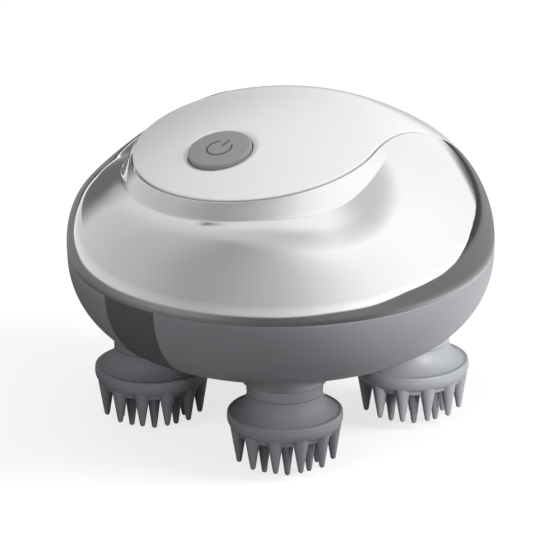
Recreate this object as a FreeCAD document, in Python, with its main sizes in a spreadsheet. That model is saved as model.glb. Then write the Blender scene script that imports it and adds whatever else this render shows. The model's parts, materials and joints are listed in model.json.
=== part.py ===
import FreeCAD, Part
import math
import operator
import os
import Sketcher

# Scalp massager: squashed round body on four turning brush heads.
# Millimetres, +Z up, origin under the body axis at the level of the longest brush tips.
# The button and the charging port face -Y.

doc = FreeCAD.newDocument("scalp_massager")
sheet = doc.addObject("Spreadsheet::Sheet", "sizes")
pieces = {}


class Size:
    # A number that remembers the formula which gives it from the sheet.
    signs = {"+": operator.add, "-": operator.sub, "*": operator.mul, "/": operator.truediv}

    def __init__(self, number, text):
        self.number = float(number)
        self.text = text

    def __float__(self):
        return self.number

    def joined(self, sign, other, turned=False):
        if not isinstance(other, Size):
            other = Size(other, "(%.10f)" % other)
        first, second = (other, self) if turned else (self, other)
        number = self.signs[sign](first.number, second.number)
        return Size(number, "(%s %s %s)" % (first.text, sign, second.text))

    def __add__(self, other):
        return self.joined("+", other)

    def __radd__(self, other):
        return self.joined("+", other, True)

    def __sub__(self, other):
        return self.joined("-", other)

    def __rsub__(self, other):
        return self.joined("-", other, True)

    def __mul__(self, other):
        return self.joined("*", other)

    def __rmul__(self, other):
        return self.joined("*", other, True)

    def __truediv__(self, other):
        return self.joined("/", other)

    def root(self):
        return Size(math.sqrt(self.number), "sqrt(%s)" % self.text)

    def cosine(self):
        return Size(math.cos(math.radians(self.number)), "cos(%s * 1 deg)" % self.text)

    def sine(self):
        return Size(math.sin(math.radians(self.number)), "sin(%s * 1 deg)" % self.text)


def size(alias, number):
    row = size.rows = getattr(size, "rows", 0) + 1
    sheet.set("A%d" % row, alias)
    sheet.set("B%d" % row, str(number))
    sheet.setAlias("B%d" % row, alias)
    return Size(number, "sizes." + alias)


# Body
body_radius = size("body_radius", 55.0)
equator_level = size("equator_level", 48.4)
dome_height = size("dome_height", 37.6)
dome_shoulder_radius = size("dome_shoulder_radius", 30.0)
parting_level = size("parting_level", 45.7)
bowl_corner_radius = size("bowl_corner_radius", 22.7)
base_level = size("base_level", 18.65)
housing_wall = size("housing_wall", 2.6)
shell_wall = size("shell_wall", 3.2)

# White cover
crown_level = size("crown_level", 83.0)
crown_radius = size("crown_radius", 115.0)
crown_setback = size("crown_setback", 8.0)
cover_wall = size("cover_wall", 1.6)
cover_gap = size("cover_gap", 0.15)
nose_radius = size("nose_radius", 32.0)
nose_setback = size("nose_setback", 8.2)
waist_half_width = size("waist_half_width", 25.0)
waist_setback = size("waist_setback", 30.0)
tail_reach = size("tail_reach", 62.0)

# Chrome shell step round the nose of the cover
nose_step = size("nose_step", 5.2)
nose_step_width = size("nose_step_width", 4.2)
nose_full_angle = size("nose_full_angle", 55.0)
nose_end_angle = size("nose_end_angle", 112.0)
cover_ledge = size("cover_ledge", 3.0)
shoulder_blend = size("shoulder_blend", 1.2)

# Button
button_tilt = size("button_tilt", 15.1)
button_radius = size("button_radius", 8.25)
button_proud = size("button_proud", 1.2)
button_edge = size("button_edge", 0.6)
button_gap = size("button_gap", 0.25)
button_travel = size("button_travel", 0.8)
button_skirt = size("button_skirt", 3.6)
button_flange = size("button_flange", 1.15)
button_flange_thickness = size("button_flange_thickness", 1.2)
button_stem_radius = size("button_stem_radius", 2.0)
button_stem_length = size("button_stem_length", 2.8)
recess_width = size("recess_width", 1.4)
recess_depth = size("recess_depth", 0.9)
recess_rise = size("recess_rise", 0.4)

# Boards and switch
switch_gap = size("switch_gap", 0.1)
switch_height = size("switch_height", 3.5)
switch_side = size("switch_side", 6.0)
plunger_radius = size("plunger_radius", 1.5)
plunger_height = size("plunger_height", 1.0)
board_thickness = size("board_thickness", 1.6)
board_width = size("board_width", 38.0)
board_length = size("board_length", 25.0)
board_boss_spread = size("board_boss_spread", 14.5)
board_boss_reach = size("board_boss_reach", 8.0)
board_boss_radius = size("board_boss_radius", 2.6)

# Gears and the spindles that they turn
gear_module = size("gear_module", 1.0)
drive_teeth = size("drive_teeth", 48)
head_teeth = size("head_teeth", 19)
gear_backlash = size("gear_backlash", 0.16)
pressure_angle = size("pressure_angle", 20.0)
root_share = size("root_share", 1.25)
gear_level = size("gear_level", 30.8)
gear_thickness = size("gear_thickness", 4.0)
running_gap = size("running_gap", 0.05)
spindle_radius = size("spindle_radius", 2.5)
drive_shaft_radius = size("drive_shaft_radius", 2.0)
gear_hub_radius = size("gear_hub_radius", 5.0)
gear_hub_height = size("gear_hub_height", 1.2)
ring_radius = size("ring_radius", 5.0)
ring_thickness = size("ring_thickness", 0.6)
ring_sweep = size("ring_sweep", 300.0)
groove_radius = size("groove_radius", 2.0)
ring_gap = size("ring_gap", 0.3)

# Gear plate, its posts and screws
plate_level = size("plate_level", 36.5)
plate_thickness = size("plate_thickness", 2.0)
plate_radius = size("plate_radius", 43.0)
plate_hole_radius = size("plate_hole_radius", 5.5)
plate_gap = size("plate_gap", 0.3)
plate_land = size("plate_land", 2.0)
port_seat = size("port_seat", 2.0)
post_circle = size("post_circle", 37.0)
post_radius = size("post_radius", 3.2)
screw_radius = size("screw_radius", 1.25)
screw_head_radius = size("screw_head_radius", 2.5)
screw_head_height = size("screw_head_height", 1.5)
screw_length = size("screw_length", 9.0)
small_screw_radius = size("small_screw_radius", 1.0)
small_screw_length = size("small_screw_length", 6.0)

# Head carriers in the bowl
boss_radius = size("boss_radius", 10.6)
boss_tip_radius = size("boss_tip_radius", 10.0)
boss_end_level = size("boss_end_level", 22.9)
tower_radius = size("tower_radius", 8.0)
tower_gap = size("tower_gap", 0.6)
hub_pocket_depth = size("hub_pocket_depth", 0.2)
boss_height = size("boss_height", 4.4)
hub_clearance = size("hub_clearance", 0.3)
seat_pad_radius = size("seat_pad_radius", 12.2)
seal_radius = size("seal_radius", 6.5)
seal_height = size("seal_height", 2.0)
bush_radius = size("bush_radius", 4.5)

# Brush heads
hub_radius = size("hub_radius", 9.9)
hub_neck_radius = size("hub_neck_radius", 7.7)
hub_plate_radius = size("hub_plate_radius", 11.0)
hub_plate_level = size("hub_plate_level", 12.2)
hub_plate_thickness = size("hub_plate_thickness", 2.0)
collar_radius = size("collar_radius", 10.05)
collar_level = size("collar_level", 20.0)
collar_gap = size("collar_gap", 0.15)
bell_radius = size("bell_radius", 13.9)
bell_level = size("bell_level", 16.65)
shoulder_round = size("shoulder_round", 1.9)
rim_radius = size("rim_radius", 14.65)
rim_level = size("rim_level", 15.05)
rim_round = size("rim_round", 3.6)
brush_floor_radius = size("brush_floor_radius", 14.0)
brush_floor_level = size("brush_floor_level", 11.2)
outer_tooth_count = size("outer_tooth_count", 12)
inner_tooth_count = size("inner_tooth_count", 8)
outer_tooth_circle = size("outer_tooth_circle", 12.4)
inner_tooth_circle = size("inner_tooth_circle", 8.05)
outer_tip_level = size("outer_tip_level", 2.1)
tooth_base_radius = size("tooth_base_radius", 1.75)
tooth_tip_radius = size("tooth_tip_radius", 0.62)
tooth_root = size("tooth_root", 0.5)
head_phase = size("head_phase", 2.0)

# Motor and battery
gearbox_radius = size("gearbox_radius", 12.5)
gearbox_height = size("gearbox_height", 11.0)
motor_radius = size("motor_radius", 12.1)
motor_height = size("motor_height", 14.0)
motor_cap_radius = size("motor_cap_radius", 5.0)
motor_cap_height = size("motor_cap_height", 1.4)
motor_screw_spread = size("motor_screw_spread", 15.5)
motor_ear_width = size("motor_ear_width", 7.0)
motor_ear_thickness = size("motor_ear_thickness", 2.0)
shaft_entry = size("shaft_entry", 3.5)
thrust_post_radius = size("thrust_post_radius", 4.2)
drive_bush_radius = size("drive_bush_radius", 3.0)
drive_bush_length = size("drive_bush_length", 4.0)
drive_bush_flange = size("drive_bush_flange", 0.8)
cell_radius = size("cell_radius", 9.2)
cell_length = size("cell_length", 65.0)
cell_setback = size("cell_setback", 24.2)
cradle_floor = size("cradle_floor", 3.0)
cradle_width = size("cradle_width", 40.0)
cradle_side = size("cradle_side", 0.8)
cradle_height = size("cradle_height", 9.0)
cell_gap = size("cell_gap", 0.1)

# Charging port and its cover strip
strip_angle = size("strip_angle", 18.6)
strip_length = size("strip_length", 25.0)
strip_thickness = size("strip_thickness", 1.2)
strip_gap = size("strip_gap", 0.12)
port_width = size("port_width", 8.9)
port_height = size("port_height", 3.2)
port_depth = size("port_depth", 7.3)
port_clearance = size("port_clearance", 0.3)
port_wall = size("port_wall", 0.3)
port_board_width = size("port_board_width", 15.0)
port_board_setback = size("port_board_setback", 2.6)
port_board_screw_gap = size("port_board_screw_gap", 0.6)
port_board_thickness = size("port_board_thickness", 1.0)
gasket_width = size("gasket_width", 0.9)
gasket_height = size("gasket_height", 0.8)

doc.recompute()

# Worked-out sizes
none = Size(0, "0")
head_circle = gear_module * (drive_teeth + head_teeth) / 2
shoulder_centre = body_radius - dome_shoulder_radius
dome_radius = (body_radius * body_radius + dome_height * dome_height
               - 2 * body_radius * dome_shoulder_radius) / (2 * (dome_height - dome_shoulder_radius))
dome_top = equator_level + dome_height
parting_drop = equator_level - parting_level
rim_reach = (dome_shoulder_radius * dome_shoulder_radius - parting_drop * parting_drop).root()
bowl_rim = shoulder_centre + rim_reach
bowl_centre = bowl_rim - bowl_corner_radius
bowl_depth = parting_level - base_level
base_radius = (bowl_centre * bowl_centre + bowl_depth * bowl_depth
               - bowl_corner_radius * bowl_corner_radius) / (2 * (bowl_depth - bowl_corner_radius))
waist_reach = waist_setback + nose_setback
waist_radius = (waist_half_width * waist_half_width + waist_reach * waist_reach
                - nose_radius * nose_radius) / (2 * (nose_radius - waist_half_width))
plate_top = plate_level + plate_thickness
tower_top = gear_level - tower_gap
hub_pocket_top = boss_end_level + hub_pocket_depth
seal_top = hub_pocket_top + seal_height
crown_centre_level = crown_level - crown_radius


def bind(thing, name, value):
    thing.setExpression(name, value.text)


def keep(label, thing):
    thing.Label = label
    pieces[label] = thing
    return thing


def place(thing, x=None, y=None, z=None):
    for axis, value in (("x", x), ("y", y), ("z", z)):
        if isinstance(value, Size):
            bind(thing, "Placement.Base." + axis, value)
    return thing


def cylinder(radius, bottom, top, x=None, y=None):
    thing = doc.addObject("Part::Cylinder", "cylinder")
    bind(thing, "Radius", radius)
    bind(thing, "Height", top - bottom)
    return place(thing, x, y, bottom)


def box(width, depth, bottom, top, front, left=None):
    thing = doc.addObject("Part::Box", "box")
    bind(thing, "Length", width)
    bind(thing, "Width", depth)
    bind(thing, "Height", top - bottom)
    return place(thing, width / -2 if left is None else left, front, bottom)


def fuse(things):
    thing = doc.addObject("Part::MultiFuse", "fusion")
    thing.Shapes = things
    return thing


def common(things):
    thing = doc.addObject("Part::MultiCommon", "common")
    thing.Shapes = things
    return thing


def cut(base, tools):
    thing = doc.addObject("Part::Cut", "cut")
    thing.Base = base
    thing.Tool = tools[0] if len(tools) == 1 else fuse(tools)
    return thing


def group(things):
    thing = doc.addObject("Part::Compound", "group")
    thing.Links = things
    return thing


def arc_between(start, end, radius, side):
    # The short arc from start to end, with its centre on the left (1) or right (-1) of travel.
    chord = end.sub(start)
    rise = math.sqrt(max(radius ** 2 - chord.Length ** 2 / 4, 0.0))
    left = FreeCAD.Vector(-chord.y, chord.x, 0).normalize()
    centre = (start + end) * 0.5 + left * (side * rise)
    first, last = (start, end) if side > 0 else (end, start)
    circle = Part.Circle(centre, FreeCAD.Vector(0, 0, 1), radius)
    return Part.ArcOfCircle(circle, circle.parameter(first), circle.parameter(last))


def draw(sketch, corners):
    # Closed outline; a corner (x, y, radius, side) starts an arc, and (x, y) a straight line.
    points = [FreeCAD.Vector(float(c[0]), float(c[1]), 0) for c in corners]
    ends = []
    for i, corner in enumerate(corners):
        start, end = points[i], points[(i + 1) % len(points)]
        if len(corner) == 2:
            sketch.addGeometry(Part.LineSegment(start, end))
            ends.append((1, 2))
        else:
            sketch.addGeometry(arc_between(start, end, float(corner[2]), corner[3]))
            ends.append((1, 2) if corner[3] > 0 else (2, 1))
    for i, corner in enumerate(corners):
        following = (i + 1) % len(corners)
        sketch.addConstraint(Sketcher.Constraint("Coincident", i, ends[i][1], following, ends[following][0]))
    for i, corner in enumerate(corners):
        for axis, kind, value in ((-2, "DistanceX", corner[0]), (-1, "DistanceY", corner[1])):
            if not isinstance(value, Size):
                sketch.addConstraint(Sketcher.Constraint("PointOnObject", i, ends[i][0], axis))
                continue
            rule = Sketcher.Constraint(kind, -1, 1, i, ends[i][0], float(value))
            bind(sketch, "Constraints[%d]" % sketch.addConstraint(rule), value)
        if len(corner) > 2 and isinstance(corner[2], Size):
            rule = Sketcher.Constraint("Radius", i, float(corner[2]))
            bind(sketch, "Constraints[%d]" % sketch.addConstraint(rule), corner[2])


def sketch_on(body, role, corners):
    sketch = body.newObject("Sketcher::SketchObject", "outline")
    plane = [f for f in body.Origin.OriginFeatures if f.Role == role][0]
    sketch.AttachmentSupport = [(plane, "")]
    sketch.MapMode = "FlatFace"
    draw(sketch, corners)
    return sketch


def turned(corners, angle=None):
    # A profile in radius and height, turned about the vertical axis; a part turn is centred on +X.
    body = doc.addObject("PartDesign::Body", "turned")
    sketch = sketch_on(body, "XZ_Plane", corners)
    solid = body.newObject("PartDesign::Revolution", "revolution")
    solid.Profile = sketch
    solid.ReferenceAxis = (sketch, ["V_Axis"])
    if angle is None:
        solid.Angle = 360
    else:
        solid.Midplane = True
        bind(solid, "Angle", angle)
    sketch.Visibility = False
    return body


def around(thing, angle, circle=None, phase=None):
    # Turns a piece about its own vertical axis, and carries it out to a circle about the body axis.
    spin = FreeCAD.Rotation(FreeCAD.Vector(0, 0, 1), angle if phase is None else phase)
    thing.Placement = FreeCAD.Placement(FreeCAD.Vector(0, 0, 0), spin)
    if circle is not None:
        place(thing, circle * math.cos(math.radians(angle)), circle * math.sin(math.radians(angle)))
    return thing


head_angles = [-45, 45, 135, 225]
post_angles = [-90, 0, 90, 180]
degrees_per_radian = 180 / math.pi
tip_plane = 0


# Dome and bowl, each of two tangent arcs
def dome_profile(inset):
    share = (dome_radius - inset) / (dome_radius - dome_shoulder_radius)
    centre = dome_top - dome_radius
    meet = (share * shoulder_centre, centre + share * (equator_level - centre))
    return dome_shoulder_radius - inset, meet, dome_top - inset, dome_radius - inset


def dome_solid(inset, foot):
    side, meet, top, crown = dome_profile(inset)
    rim = shoulder_centre + (side * side - (equator_level - foot) * (equator_level - foot)).root()
    return turned([(0, foot), (rim, foot, side, 1), (meet[0], meet[1], crown, 1), (0, top)])


def crown_solid(inset, foot=parting_level):
    # What lies under the cover's surface: the dome with its top taken down by a flatter sphere.
    ball = doc.addObject("Part::Sphere", "ball")
    bind(ball, "Radius", crown_radius - inset)
    place(ball, None, crown_setback, crown_centre_level)
    return common([dome_solid(inset, foot), ball])


def bowl_profile(inset):
    share = (base_radius - inset) / (base_radius - bowl_corner_radius)
    centre = base_level + base_radius
    meet = (share * bowl_centre, centre + share * (parting_level - centre))
    return bowl_rim - inset, bowl_corner_radius - inset, meet, base_level + inset, base_radius - inset


def bowl_solid(inset):
    rim, corner, meet, floor, base = bowl_profile(inset)
    return turned([(0, floor, base, 1), (meet[0], meet[1], corner, 1),
                   (rim, parting_level), (0, parting_level)])


def bowl_shell():
    rim, corner, meet, floor, base = bowl_profile(none)
    in_rim, in_corner, in_meet, in_floor, in_base = bowl_profile(housing_wall)
    return turned([(0, floor, base, 1), (meet[0], meet[1], corner, 1), (rim, parting_level),
                   (in_rim, parting_level, in_corner, -1), (in_meet[0], in_meet[1], in_base, -1),
                   (0, in_floor)])


# Cover outline seen from above: a round nose, a drawn-in waist and a tail over the back
def panel_prism(gap):
    nose = nose_radius + gap
    waist = waist_radius - gap
    waist_x = waist_half_width + waist_radius
    share = nose / (nose_radius + waist_radius)
    meet_x = share * waist_x
    meet_y = share * waist_reach - nose_setback
    tail_x = waist_x - (waist * waist - (tail_reach - waist_setback) * (tail_reach - waist_setback)).root()
    body = doc.addObject("PartDesign::Body", "panel")
    front = -1 * (nose + nose_setback)
    sketch = sketch_on(body, "XY_Plane", [
        (0, front, nose, 1), (meet_x, meet_y, waist, -1), (tail_x, tail_reach),
        (-1 * tail_x, tail_reach, waist, -1), (-1 * meet_x, meet_y, nose, 1)])
    pad = body.newObject("PartDesign::Pad", "pad")
    pad.Profile = sketch
    bind(pad, "Length", dome_top + dome_height)
    sketch.Visibility = False
    return body


def nose_edge(angle):
    # Distance from the body axis to the circle of the cover's nose, angle measured from the front.
    back = float(nose_setback)
    across, along = math.sin(math.radians(angle)), math.cos(math.radians(angle))
    return back * along + math.sqrt(float(nose_radius) ** 2 - (back * across) ** 2)


def ease(share):
    share = min(max(share, 0.0), 1.0)
    return share * share * (3 - 2 * share)


def dome_point(radius):
    # Height of the plain dome at a radius, with its outward direction.
    side, meet, top, crown = dome_profile(none)
    if radius > float(meet[0]):
        across = radius - float(shoulder_centre)
        rise = math.sqrt(max(float(side) ** 2 - across ** 2, 0.0))
        return float(equator_level) + rise, across / float(side), rise / float(side)
    rise = math.sqrt(float(crown) ** 2 - radius ** 2)
    return float(dome_top) - float(crown) + rise, radius / float(crown), rise / float(crown)


def crown_height(x, y):
    reach = float(crown_radius) ** 2 - x ** 2 - (y - float(crown_setback)) ** 2
    return float(crown_centre_level) + math.sqrt(reach)


# Chrome shell: a ring of radial sections, stepped down round the nose of the cover
section_count = 24
taper_power = 1.5


def chrome_section(angle):
    across, along = math.sin(math.radians(angle)), -math.cos(math.radians(angle))
    edge = nose_edge(angle)
    width = float(nose_step_width)
    reach = float(body_radius)
    foot = edge + width
    wall = float(shell_wall)
    blend = float(shoulder_blend)
    swing = abs((angle + 180) % 360 - 180)
    full, end = float(nose_full_angle), float(nose_end_angle)
    step = float(nose_step) * ease((end - swing) / (end - full))

    def top_height(radius):
        plain = dome_point(radius)[0]
        flat = crown_height(radius * across, radius * along)
        near = max(blend - abs(plain - flat), 0.0) / blend
        return min(plain, flat) - near * near * blend / 4

    def drop(radius, start):
        taper = 1 - (max(radius - foot, 0.0) / (reach - foot)) ** taper_power
        return step * ease((radius - start) / (foot - start)) * taper

    radii = [edge - float(cover_ledge)] + [edge + width * i / 4 for i in range(5)]
    radii += [foot + (reach - foot) * math.sin(math.pi / 2 * i / 5) for i in range(1, 6)]
    outer, inner = [], []
    for radius in radii:
        out, up = dome_point(radius)[1:]
        height = top_height(radius)
        outer.append((radius, height - drop(radius, edge)))
        inner.append((radius - wall * out, height - wall * up - drop(radius, edge - wall / 2)))
    outer.append((float(bowl_rim), float(parting_level)))
    inner.append((float(bowl_rim) - wall, float(parting_level)))

    def curve(points):
        spline = Part.BSplineCurve()
        spline.interpolate([FreeCAD.Vector(r * across, r * along, z) for r, z in points])
        return spline.toShape()

    outside, inside = curve(outer), curve(inner[::-1])
    foot_line = Part.makeLine(outside.Vertexes[-1].Point, inside.Vertexes[0].Point)
    ledge_line = Part.makeLine(inside.Vertexes[-1].Point, outside.Vertexes[0].Point)
    return Part.Wire([outside, foot_line, inside, ledge_line])


def chrome_shell():
    sections = [chrome_section(360.0 * i / section_count) for i in range(section_count)]
    ring = doc.addObject("Part::Feature", "chrome_ring")
    ring.Shape = Part.makeLoft(sections, True, False, True)
    notch = cut(panel_prism(cover_gap), [crown_solid(cover_wall + cover_gap, parting_level - housing_wall)])
    return keep("chrome_shell", cut(ring, [notch]))


# Pieces that lie square to the tilted button axis
def tilted(thing, x=None, y=0, z=0):
    # Stands a piece on the button axis: z is measured from the middle of the cover's sphere.
    lean = FreeCAD.Rotation(FreeCAD.Vector(1, 0, 0), float(button_tilt))
    thing.Placement = FreeCAD.Placement(FreeCAD.Vector(0, 0, 0), lean)
    bind(thing, "Placement.Rotation.Angle", button_tilt)
    upright, sideways = button_tilt.cosine(), button_tilt.sine()
    return place(thing, x, crown_setback + y * upright - z * sideways,
                 crown_centre_level + y * sideways + z * upright)


button_top = crown_radius + button_proud
button_flange_top = button_top - button_skirt
stem_end = button_flange_top - button_flange_thickness - button_stem_length
switch_top = stem_end - button_travel - switch_gap
board_top = switch_top - switch_height
board_bottom = board_top - board_thickness
board_screw_spots = [(i * board_boss_spread, j * board_boss_reach) for i in (-1, 1) for j in (-1, 1)]


def power_button():
    flange = button_radius + button_flange
    flange_bottom = button_flange_top - button_flange_thickness
    body = turned([
        (0, stem_end), (button_stem_radius, stem_end), (button_stem_radius, flange_bottom),
        (flange, flange_bottom), (flange, button_flange_top), (button_radius, button_flange_top),
        (button_radius, button_top - button_edge, button_edge, 1), (button_radius - button_edge, button_top),
        (0, button_top)])
    return keep("power_button", tilted(body))


def top_cover():
    bore = button_radius + button_gap
    well_floor = crown_radius - 4 * cover_wall
    well = turned([
        (0, well_floor), (bore, well_floor), (bore, crown_radius - recess_depth),
        (bore + recess_width, crown_radius + recess_rise), (bore + recess_width, button_top),
        (0, button_top)])
    shell = common([cut(crown_solid(none), [crown_solid(cover_wall)]), panel_prism(none)])
    bosses = []
    holes = []
    for x, y in board_screw_spots:
        bosses.append(tilted(cylinder(board_boss_radius, board_top, crown_radius), x, y, board_top))
        hole = cylinder(small_screw_radius, board_top, board_top + small_screw_length)
        holes.append(tilted(hole, x, y, board_top))
    kept = common([fuse(bosses), crown_solid(cover_wall / 2)])
    return keep("top_cover", cut(fuse([shell, kept]), [tilted(well)] + holes))


def main_board():
    board = tilted(box(board_width, board_length, board_bottom, board_top, board_length / -2),
                   board_width / -2, board_length / -2, board_bottom)
    holes = [tilted(cylinder(small_screw_radius, board_bottom, board_top), x, y, board_bottom)
             for x, y in board_screw_spots]
    keep("main_board", cut(board, holes))
    screws = []
    for x, y in board_screw_spots:
        head_bottom = board_bottom - small_screw_radius
        head = cylinder(2 * small_screw_radius, head_bottom, board_bottom)
        shank = cylinder(small_screw_radius, board_bottom, board_top + small_screw_length)
        screws.append(fuse([tilted(head, x, y, head_bottom), tilted(shank, x, y, board_bottom)]))
    keep("board_screws", group(screws))
    plunger_bottom = switch_top - plunger_height
    can = box(switch_side, switch_side, board_top, plunger_bottom, switch_side / -2)
    plunger = cylinder(plunger_radius, plunger_bottom, switch_top)
    keep("tact_switch", fuse([tilted(can, switch_side / -2, switch_side / -2, board_top),
                              tilted(plunger, None, 0, plunger_bottom)]))


# Port cover strip: a slice of the bowl's wall on the front, hinged along its lower edge
def strip_slice(clear, reach):
    # Between the strip's back and its face, from the parting line down the bowl's corner arc.
    swing = (strip_length + clear) / bowl_corner_radius * degrees_per_radian
    face = bowl_corner_radius + reach
    back = bowl_corner_radius - strip_thickness - clear
    low = (bowl_centre + face * swing.cosine(), parting_level - face * swing.sine())
    low_back = (bowl_centre + back * swing.cosine(), parting_level - back * swing.sine())
    angle = strip_angle + 2 * clear / body_radius * degrees_per_radian
    body = turned([(low[0], low[1], face, 1), (bowl_centre + face, parting_level),
                   (bowl_centre + back, parting_level, back, -1), low_back], angle)
    return around(body, -90)


def head_seat():
    # Outer boss and inner tower of one brush head.
    shoulder = boss_end_level + boss_height
    return turned([(0, boss_end_level), (boss_tip_radius, boss_end_level), (boss_radius, shoulder),
                   (tower_radius, shoulder), (tower_radius, tower_top), (0, tower_top)])


def head_bore():
    pocket = hub_radius + hub_clearance
    below = boss_end_level - 2 * housing_wall
    return turned([(0, below), (pocket, below), (pocket, hub_pocket_top), (seal_radius, hub_pocket_top),
                   (seal_radius, seal_top), (bush_radius, seal_top), (bush_radius, tower_top),
                   (0, tower_top)])


def lower_housing():
    solids = [bowl_shell()]
    posts = [cylinder(thrust_post_radius, base_level, drive_bush_top - drive_bush_flange)]
    cuts = []
    for angle in head_angles:
        pad = cylinder(seat_pad_radius, boss_end_level, boss_end_level + boss_height)
        posts.append(around(pad, angle, head_circle))
        solids.append(around(head_seat(), angle, head_circle))
        cuts.append(around(head_bore(), angle, head_circle))
    for angle in post_angles:
        posts.append(around(cylinder(post_radius, base_level, plate_level), angle, post_circle))
        cuts.append(around(cylinder(screw_radius, plate_top - screw_length, plate_level), angle, post_circle))
    solids.append(common([fuse(posts), bowl_solid(housing_wall / 2)]))
    cuts.append(cylinder(drive_bush_radius, drive_bush_bottom, drive_bush_top))
    # Room in the wall for the edge of a wider gear plate
    cuts.append(cylinder(plate_radius + plate_gap, plate_level, plate_top))
    cuts.append(strip_slice(strip_gap, strip_thickness))
    mouth_width = port_width + 2 * port_clearance
    cuts.append(box(mouth_width, 4 * housing_wall, port_bottom - port_clearance,
                    port_bottom + port_height + port_clearance, -1 * (bowl_rim + housing_wall)))
    cuts.append(gasket_ring())
    keep("lower_housing", cut(fuse(solids), cuts))
    keep("housing_gasket", gasket_ring())
    keep("port_cover", strip_slice(none, none))


def gasket_ring():
    inside = bowl_rim - housing_wall
    outside = inside + gasket_width
    low = parting_level - gasket_height
    return turned([(inside, low), (outside, low), (outside, parting_level), (inside, parting_level)])


# Drive: bush, shaft, gear and motor on the body axis
drive_bush_top = gear_level - tower_gap
drive_bush_bottom = drive_bush_top - drive_bush_length
port_bottom = plate_top + port_board_thickness


def gear_outline(teeth, phase):
    # Involute teeth; the first one points along +X turned by the phase, in degrees.
    count = int(float(teeth))
    pitch = float(gear_module) * count / 2
    tip = pitch + float(gear_module)
    root = pitch - float(root_share * gear_module)
    base = pitch * float(pressure_angle.cosine())

    def spread(radius):
        lean = math.acos(min(base / radius, 1.0))
        return math.tan(lean) - lean

    half = math.pi / (2 * count) - float(gear_backlash) / (4 * pitch) + spread(pitch)
    low = max(base, root)
    flank_radii = [low + (tip - low) * i / 4 for i in range(5)]

    def point(radius, angle):
        return FreeCAD.Vector(radius * math.cos(angle), radius * math.sin(angle), 0)

    edges = []
    for i in range(count):
        middle = math.radians(phase) + 2 * math.pi * i / count
        step = 2 * math.pi / count
        right = [point(r, middle - half + spread(r)) for r in flank_radii]
        left = [point(r, middle + half - spread(r)) for r in flank_radii]
        root_right, root_left = point(root, middle - half), point(root, middle + half)
        for flank, foot in ((right, root_right), (left[::-1], root_left)):
            curve = Part.BSplineCurve()
            curve.interpolate(flank)
            line = Part.makeLine(foot, flank[0]) if flank is right else Part.makeLine(flank[-1], foot)
            edges += [line, curve.toShape()] if flank is right else [curve.toShape(), line]
            if flank is right:
                edges.append(Part.Arc(right[-1], point(tip, middle), left[-1]).toShape())
        next_foot = point(root, middle + step - half)
        edges.append(Part.Arc(root_left, point(root, middle + step / 2), next_foot).toShape())
    return Part.Wire(edges)


def gear(teeth, phase, bore, hub_height):
    blank = doc.addObject("Part::Feature", "gear_blank")
    face = Part.Face(gear_outline(teeth, phase))
    blank.Shape = face.extrude(FreeCAD.Vector(0, 0, float(gear_thickness)))
    place(blank, None, None, gear_level)
    hub = cylinder(gear_hub_radius, gear_level, gear_level + gear_thickness + hub_height)
    return cut(fuse([blank, hub]), [cylinder(bore, gear_level, gear_level + gear_thickness + hub_height)])


def drive():
    flange_bottom = drive_bush_top - drive_bush_flange
    bore = drive_shaft_radius + running_gap
    keep("drive_bush", turned([
        (bore, drive_bush_bottom), (drive_bush_radius, drive_bush_bottom), (drive_bush_radius, flange_bottom),
        (thrust_post_radius, flange_bottom), (thrust_post_radius, drive_bush_top), (bore, drive_bush_top)]))
    keep("drive_gear", gear(drive_teeth, 45.0, drive_shaft_radius, gear_hub_height))
    keep("drive_shaft", cylinder(drive_shaft_radius, drive_bush_bottom, plate_top + shaft_entry))
    gearbox_top = plate_top + gearbox_height
    socket = cylinder(bore, plate_top, plate_top + shaft_entry + running_gap)
    ear_top = plate_top + motor_ear_thickness
    ears_length = 2 * motor_screw_spread + motor_ear_width
    ears = box(ears_length, motor_ear_width, plate_top, ear_top, motor_ear_width / -2)
    holes = []
    screws = []
    for side in (-1, 1):
        spot = side * motor_screw_spread
        holes.append(cylinder(screw_radius, plate_top, ear_top, spot))
        screws.append(fuse([cylinder(screw_radius, plate_level, ear_top, spot),
                            cylinder(screw_head_radius, ear_top, ear_top + screw_head_height, spot)]))
    keep("motor_screws", group(screws))
    drum = cylinder(gearbox_radius, plate_top, gearbox_top)
    keep("motor_gearbox", cut(fuse([drum, ears]), [socket] + holes))
    motor_top = gearbox_top + motor_height
    cap = cylinder(motor_cap_radius, motor_top, motor_top + motor_cap_height)
    keep("motor_can", fuse([cylinder(motor_radius, gearbox_top, motor_top), cap]))


def gear_plate():
    # A disc that always reaches round each spindle and post, and under the port board
    lands = [cylinder(plate_radius, plate_level, plate_top)]
    reach = screw_head_radius + port_board_screw_gap + port_seat
    lands.append(box(port_board_width, reach, plate_level, plate_top, -1 * (post_circle + reach)))
    holes = [cylinder(plate_hole_radius, plate_level, plate_top)]
    holes += [cylinder(screw_radius, plate_level, plate_top, side * motor_screw_spread) for side in (-1, 1)]
    for angle in head_angles:
        hole = cylinder(spindle_radius + running_gap, plate_level, plate_top)
        holes.append(around(hole, angle, head_circle))
        land = cylinder(spindle_radius + plate_land, plate_level, plate_top)
        lands.append(around(land, angle, head_circle))
    screws = []
    for angle in post_angles:
        holes.append(around(cylinder(screw_radius, plate_level, plate_top), angle, post_circle))
        lands.append(around(cylinder(post_radius, plate_level, plate_top), angle, post_circle))
        shank = cylinder(screw_radius, plate_top - screw_length, plate_top)
        head = cylinder(screw_head_radius, plate_top, plate_top + screw_head_height)
        screws.append(fuse([around(shank, angle, post_circle), around(head, angle, post_circle)]))
    disc = fuse(lands)
    disc.Refine = True
    keep("gear_plate", cut(disc, holes))
    keep("plate_screws", group(screws))


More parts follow.
